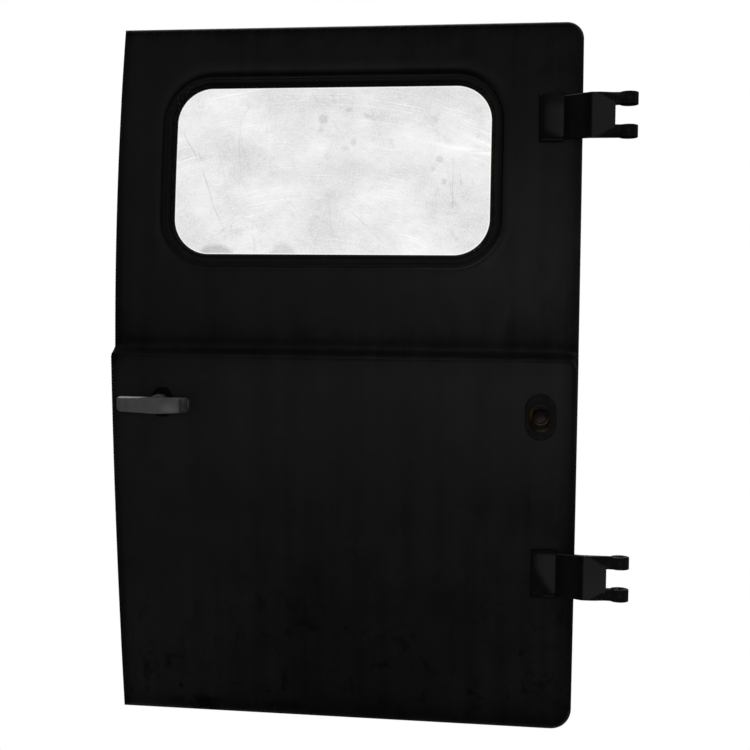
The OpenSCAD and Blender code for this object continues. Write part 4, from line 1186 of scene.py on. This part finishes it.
def grip_light_shade_and_pits(x, y, z):
    """The grip's painted light and shade: a painted highlight along its top left edge and a painted sheen near the
    right; its right end darker, partly painted shade and partly pits, with a painted bright rim; its left end darker,
    painted shade; a faint darker band near the left.
    """
    if y > -GRIP_OUT + GRIP_T + 3:
        return 0.9
    top = GRIP_END_H / 2 + 1
    b = GRIP_W / 2 - GRIP_OFF
    a = b - GRIP_W
    w = 1.0
    # a painted sheen near the right
    w += 0.75 * smooth(1 - math.hypot((x - 25) / 24, (z + 5) / 10))
    w *= 1 - 0.22 * smooth(1 - abs(x - a - 21) / 6)
    thick = 2.3 - 1.2 * min(1.0, (x - a) / 56)
    # a painted highlight along the top left edge
    if z > top - thick and x < -10:
        k = smooth((x - a - 2) / 7) * (1 - smooth((x + 36) / 24))
        w += 6.5 * k * smooth((z - top + thick) / 1.1)
    # the right end: painted shade with pits, and a painted bright rim
    if x > 40:
        pits = 0.5 + 0.5 * math.sin(x * 0.9 + 1.3 * math.sin(z * 0.8)) * math.cos(z * 0.7 + 0.6)
        k = smooth((x - 40) / 6)
        w *= 1 - k * (0.74 + 0.2 * pits)
        if abs(x - b + 2.8) < 1.2 and -4 < z < top - 3:
            w = 1.1
        elif x > b - 1.4:
            w = 0.3
        if z > top - 2.2 and x < b - 6:
            w += 0.5
        if math.hypot(x - b + 8, z + 0.5) < 3.0:
            w = 0.02
    # painted shade at the left end
    if x < a + 3.5:
        w *= 0.3 + 0.7 * max(0.0, (x - a - 1.5) / 2.0)
    return w


# painted light and shade on the grip, with pits
point_values(grip_ob, ["wear_and_shade"], grip_light_shade_and_pits, PLACE)


def rose_path(inset, n=3):
    """The escutcheon's outline with softened corners."""
    a, b = ROSE_W / 2 - inset, ROSE_H / 2 - inset
    c, d = a * 0.52, b * 0.4
    pts = [(-c, -b), (c, -b), (a, -d), (a, d), (c, b), (-c, b), (-a, d), (-a, -d)]
    out = []
    for k, p in enumerate(pts):
        q, r = Vector(pts[k - 1]), Vector(pts[(k + 1) % len(pts)])
        p = Vector(p)
        s0, s1 = p + (q - p).normalized() * 2.5, p + (r - p).normalized() * 2.5
        for i in range(n + 1):
            t = i / n
            out.append(s0 * (1 - t) ** 2 + p * 2 * t * (1 - t) + s1 * t * t)
    return [(v[0], v[1]) for v in out]


def rose():
    rows = [(0.0, -0.3), (0.0, -2.6), (0.4, -3.5), (1.3, -4.1), (2.8, -4.3)]
    loops = [[(x, y, z) for x, z in rose_path(i)] for i, y in rows]
    for r, y in ((STEM_D / 2 + 6.5, -4.4), (STEM_D / 2 + 4.5, -5.0), (STEM_D / 2 + 4.3, -7.4),
                 (STEM_D / 2 + 3.6, -8.0),
                 (STEM_D / 2 + 0.7, -8.0), (STEM_D / 2 + 0.05, -7.4), (STEM_D / 2 + 0.05, 1.0)):
        loops.append(round_loop(rose_path(0.0), r, y))
    return loft(loops, caps=False)


# the rose's near-black colour and eight-sided outline stand partly for the shadow round the hub: partly painted
# shadow
add_mesh("handle_rose", *rose(), M_PLASTIC_AND_SHADOW, "dark_plastic", sharp=30, parts=("handle_escutcheon",), place=PLACE)

# ---- hold-back socket ----
SOCKET = on_face(CATCH_X, CATCH_Z)


def oval_path(w, h, n=20):
    r = w / 2
    s = (h - w) / 2
    return corner_arc(0, s, r, 0, 180, n) + corner_arc(0, -s, r, 180, 360, n)


def oval_plate():
    """The socket's plate, from its rounded rim to the hole."""
    rows = [(0.0, -0.3), (0.0, -1.6), (0.4, -2.4), (1.3, -2.8), (3.0, -2.8)]
    outer = [[(x, y, z) for x, z in oval_path(CATCH_W - 2 * i, CATCH_H - 2 * i)] for i, y in rows]
    path = oval_path(CATCH_W, CATCH_H)
    return loft(outer + [round_loop(path, PLATE_HOLE_R, y) for y in (-2.8, 0.5)], caps=False)


plate_ob = add_mesh("oval_plate", *oval_plate(), M_PLATE, "black_paint", sharp=35, parts=("catch_plate",),
                    place=SOCKET)


def oval_ring():
    """A stamped oval flange, bright where it is rubbed, rusty elsewhere."""
    rows = [(0.0, -3.1), (0.0, -5.2), (0.5, -6.4), (1.5, -7.0), (2.8, -7.1), (4.0, -6.8), (4.8, -6.0), (5.2, -5.0),
            (5.3, -3.1)]
    return loft([[(x, y, z) for x, z in oval_path(RING_W - 2 * i, RING_H - 2 * i)] for i, y in rows], caps=False)


ring_ob = add_mesh("socket_ring", *oval_ring(), M_RUST, "rusty_steel", sharp=40, parts=("catch_ring",), place=SOCKET)
cup = lathe_y([(13.6, 15.9), (13.6, -4.2), (13.2, -4.8), (12.5, -5.0), (11.9, -4.4), (11.3, -2.0), (11.0, 1.0),
               (10.8, 11.0), (9.8, 12.0), (0.0, 12.0),
               (0.0, 16.0)], 64, closed=False)
cup_ob = add_mesh("socket_cup", *cup, M_CUP, "catch_metal", sharp=40, parts=("catch_cup",), place=SOCKET)


def near_angle(x, z, centre, half):
    """1 in the middle of a sector round the socket, 0 outside it; angles in degrees, 0 to the right, 90 up."""
    a = math.degrees(math.atan2(z, x)) - centre
    a = abs((a + 180) % 360 - 180)
    return smooth(1 - a / half)


def plate_tint(x, y, z):
    c = blend((0.0088, 0.0088, 0.0086), (0.0098, 0.0105, 0.0080), near_angle(x, z, -40, 80))
    c = blend(c, (0.0072, 0.0092, 0.0088), near_angle(x, z, 92, 25))
    d = CATCH_W / 2 - math.hypot(x, max(0.0, abs(z) - (CATCH_H - CATCH_W) / 2))
    # painted shade along the plate's outer rim
    c = blend(c, (0.0045, 0.0045, 0.0044), smooth(1 - d / 10.0) * 0.3)
    return blend(c, (0.001, 0.001, 0.001), near_angle(x, z, 142, 12) * (1 if d < 3 else 0))


def ring_tint(x, y, z):
    c = (0.0105, 0.0062, 0.0045)
    c = blend(c, (0.0088, 0.0094, 0.0070), 1.4 * near_angle(x, z, 5, 85))
    c = blend(c, (0.019, 0.015, 0.012), near_angle(x, z, 90, 50))
    c = blend(c, (0.036, 0.020, 0.0052), near_angle(x, z, 148, 42))
    c = blend(c, (0.0085, 0.0034, 0.0026), 1.3 * near_angle(x, z, 196, 26))
    return blend(c, (0.042, 0.033, 0.014), near_angle(x, z, -80, 34))


def cup_tint(x, y, z):
    r = math.hypot(x, z)
    # painted shade inside the cup's upper left
    c = blend((0.015, 0.012, 0.0085), (0.0035, 0.004, 0.0022),
              min(1.0, 1.3 * near_angle(x, z, 115, 100)) * smooth(r / 7))
    c = blend(c, (0.018, 0.0095, 0.009), near_angle(x, z, 195, 30) * smooth(r / 9))
    # a painted highlight in a crescent on the cup's lower wall
    lit = min(1.0, 1.5 * near_angle(x, z, -75, 100)) * smooth((r - 4) / 4)
    return blend(c, (0.075, 0.054, 0.046), lit)


for ob, tint in ((plate_ob, plate_tint), (ring_ob, ring_tint), (cup_ob, cup_tint)):
    point_values(ob, ["tint"], tint, SOCKET)

# ---- finishes of the pieces that keep their CAD shape ----
for mat, pieces in (
    (M_INNER, ("top_rail", "waist_rail", "bottom_rail", "latch_stile", "hinge_stile", "upper_inner_panel",
               "lower_inner_panel", "window_reveal", "hinge_backing_plates")),
    (M_BUSH, ("upper_hinge_bushes", "lower_hinge_bushes")),
    (M_STEEL, ("handle_spindle", "spindle_follower", "latch_case", "latch_tongue", "latch_faceplate")),
):
    for node in pieces:
        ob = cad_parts[node]
        ob.data.materials.clear()
        ob.data.materials.append(mat)

# ---- floor, light and camera ----


def soft_light(name, at, to, size, energy):
    data = bpy.data.lights.new(name, "AREA")
    data.shape = "DISK"
    data.size = size
    data.energy = energy
    ob = bpy.data.objects.new(name, data)
    SCENE.collection.objects.link(ob)
    ob.location = at
    ob.rotation_mode = "QUATERNION"
    ob.rotation_quaternion = (Vector(to) - Vector(at)).to_track_quat("-Z", "Y")


def for_camera(nt, other, camera, out):
    """Gives the output the shader camera where the camera looks straight at it, and the shader other elsewhere."""
    pick = add_node(nt, "MixShader")
    put(pick.inputs[0], Val(nt, add_node(nt, "LightPath").outputs["Is Camera Ray"]))
    for k, shader in ((1, other), (2, camera)):
        put(pick.inputs[k], Val(nt, shader.outputs[0]))
    put(out.inputs[0], Val(nt, pick.outputs[0]))


# a white disc that fades out towards its rim, in metres
FLOOR_X, FLOOR_Y, FLOOR_Z, FLOOR_R, FLOOR_N = -0.49, -0.10, Z_LOW * MM - 0.32, 1.15, 96
me = bpy.data.meshes.new("floor")
disc = [(FLOOR_X, FLOOR_Y, FLOOR_Z)] + [(x, y, FLOOR_Z) for x, y in circle(FLOOR_X, FLOOR_Y, FLOOR_R, FLOOR_N)]
me.from_pydata(disc, [], [(0, 1 + i, 1 + (i + 1) % FLOOR_N) for i in range(FLOOR_N)])
floor = bpy.data.objects.new("floor", me)
SCENE.collection.objects.link(floor)
floor_mat, nt, bsdf = new_material("pale_floor")
fx, fy, _ = coords(nt)
fade = ramp(hypot(fx - FLOOR_X, fy - FLOOR_Y), (0.55, 1.0), (1.0, 0.0), interp="EASE")
dress(bsdf, Base_Color=(0.82, 0.82, 0.82, 1), Roughness=0.9, Alpha=fade)
lit = add_node(nt, "AddShader")
for k, shader in enumerate((bsdf, add_node(nt, "Emission", Color=(1, 1, 1, 1), Strength=0.93))):
    put(lit.inputs[k], Val(nt, shader.outputs[0]))
for_camera(nt, bsdf, lit, next(n for n in nt.nodes if n.type == "OUTPUT_MATERIAL"))
me.materials.append(floor_mat)

# a white background for the camera, and a dim even light for the part
world = bpy.data.worlds.new("studio")
SCENE.world = world
world.use_nodes = True
nt = world.node_tree
nt.nodes.clear()
dim, white = (add_node(nt, "Background", Color=(1, 1, 1, 1), Strength=k) for k in (0.22, 1.0))
for_camera(nt, dim, white, add_node(nt, "OutputWorld"))

EYE = Vector((-0.13542497, -2.16938031, 0.40014649))
FWD = Vector((-0.13357981, 0.99044722, -0.03421615)).normalized()
UP = Vector((-0.01819079, 0.03206931, 0.9993201))
UP = (UP - FWD * UP.dot(FWD)).normalized()
cam_data = bpy.data.cameras.new("camera")
cam_data.sensor_fit = "AUTO"
cam_data.sensor_width = 36.0
cam_data.lens = 59.96
cam_data.clip_start = 0.05
cam_data.clip_end = 100
cam = bpy.data.objects.new("camera", cam_data)
SCENE.collection.objects.link(cam)
rot = Matrix((FWD.cross(UP), UP, -FWD)).transposed()
cam.matrix_world = Matrix.Translation(EYE) @ rot.to_4x4()
SCENE.camera = cam
SCENE.view_settings.view_transform = "Standard"
SCENE.view_settings.look = "None"

soft_light("front_key", (0.40, -2.7, 0.42), (-0.40, 0.0, 0.35), 1.4, 15)
soft_light("top_soft", (-0.6, 0.5, 2.6), (-0.49, 0.05, 0.9), 1.2, 30)
soft_light("back_soft", (-0.7, 2.6, 1.2), (-0.49, 0.1, 0.3), 1.6, 30)
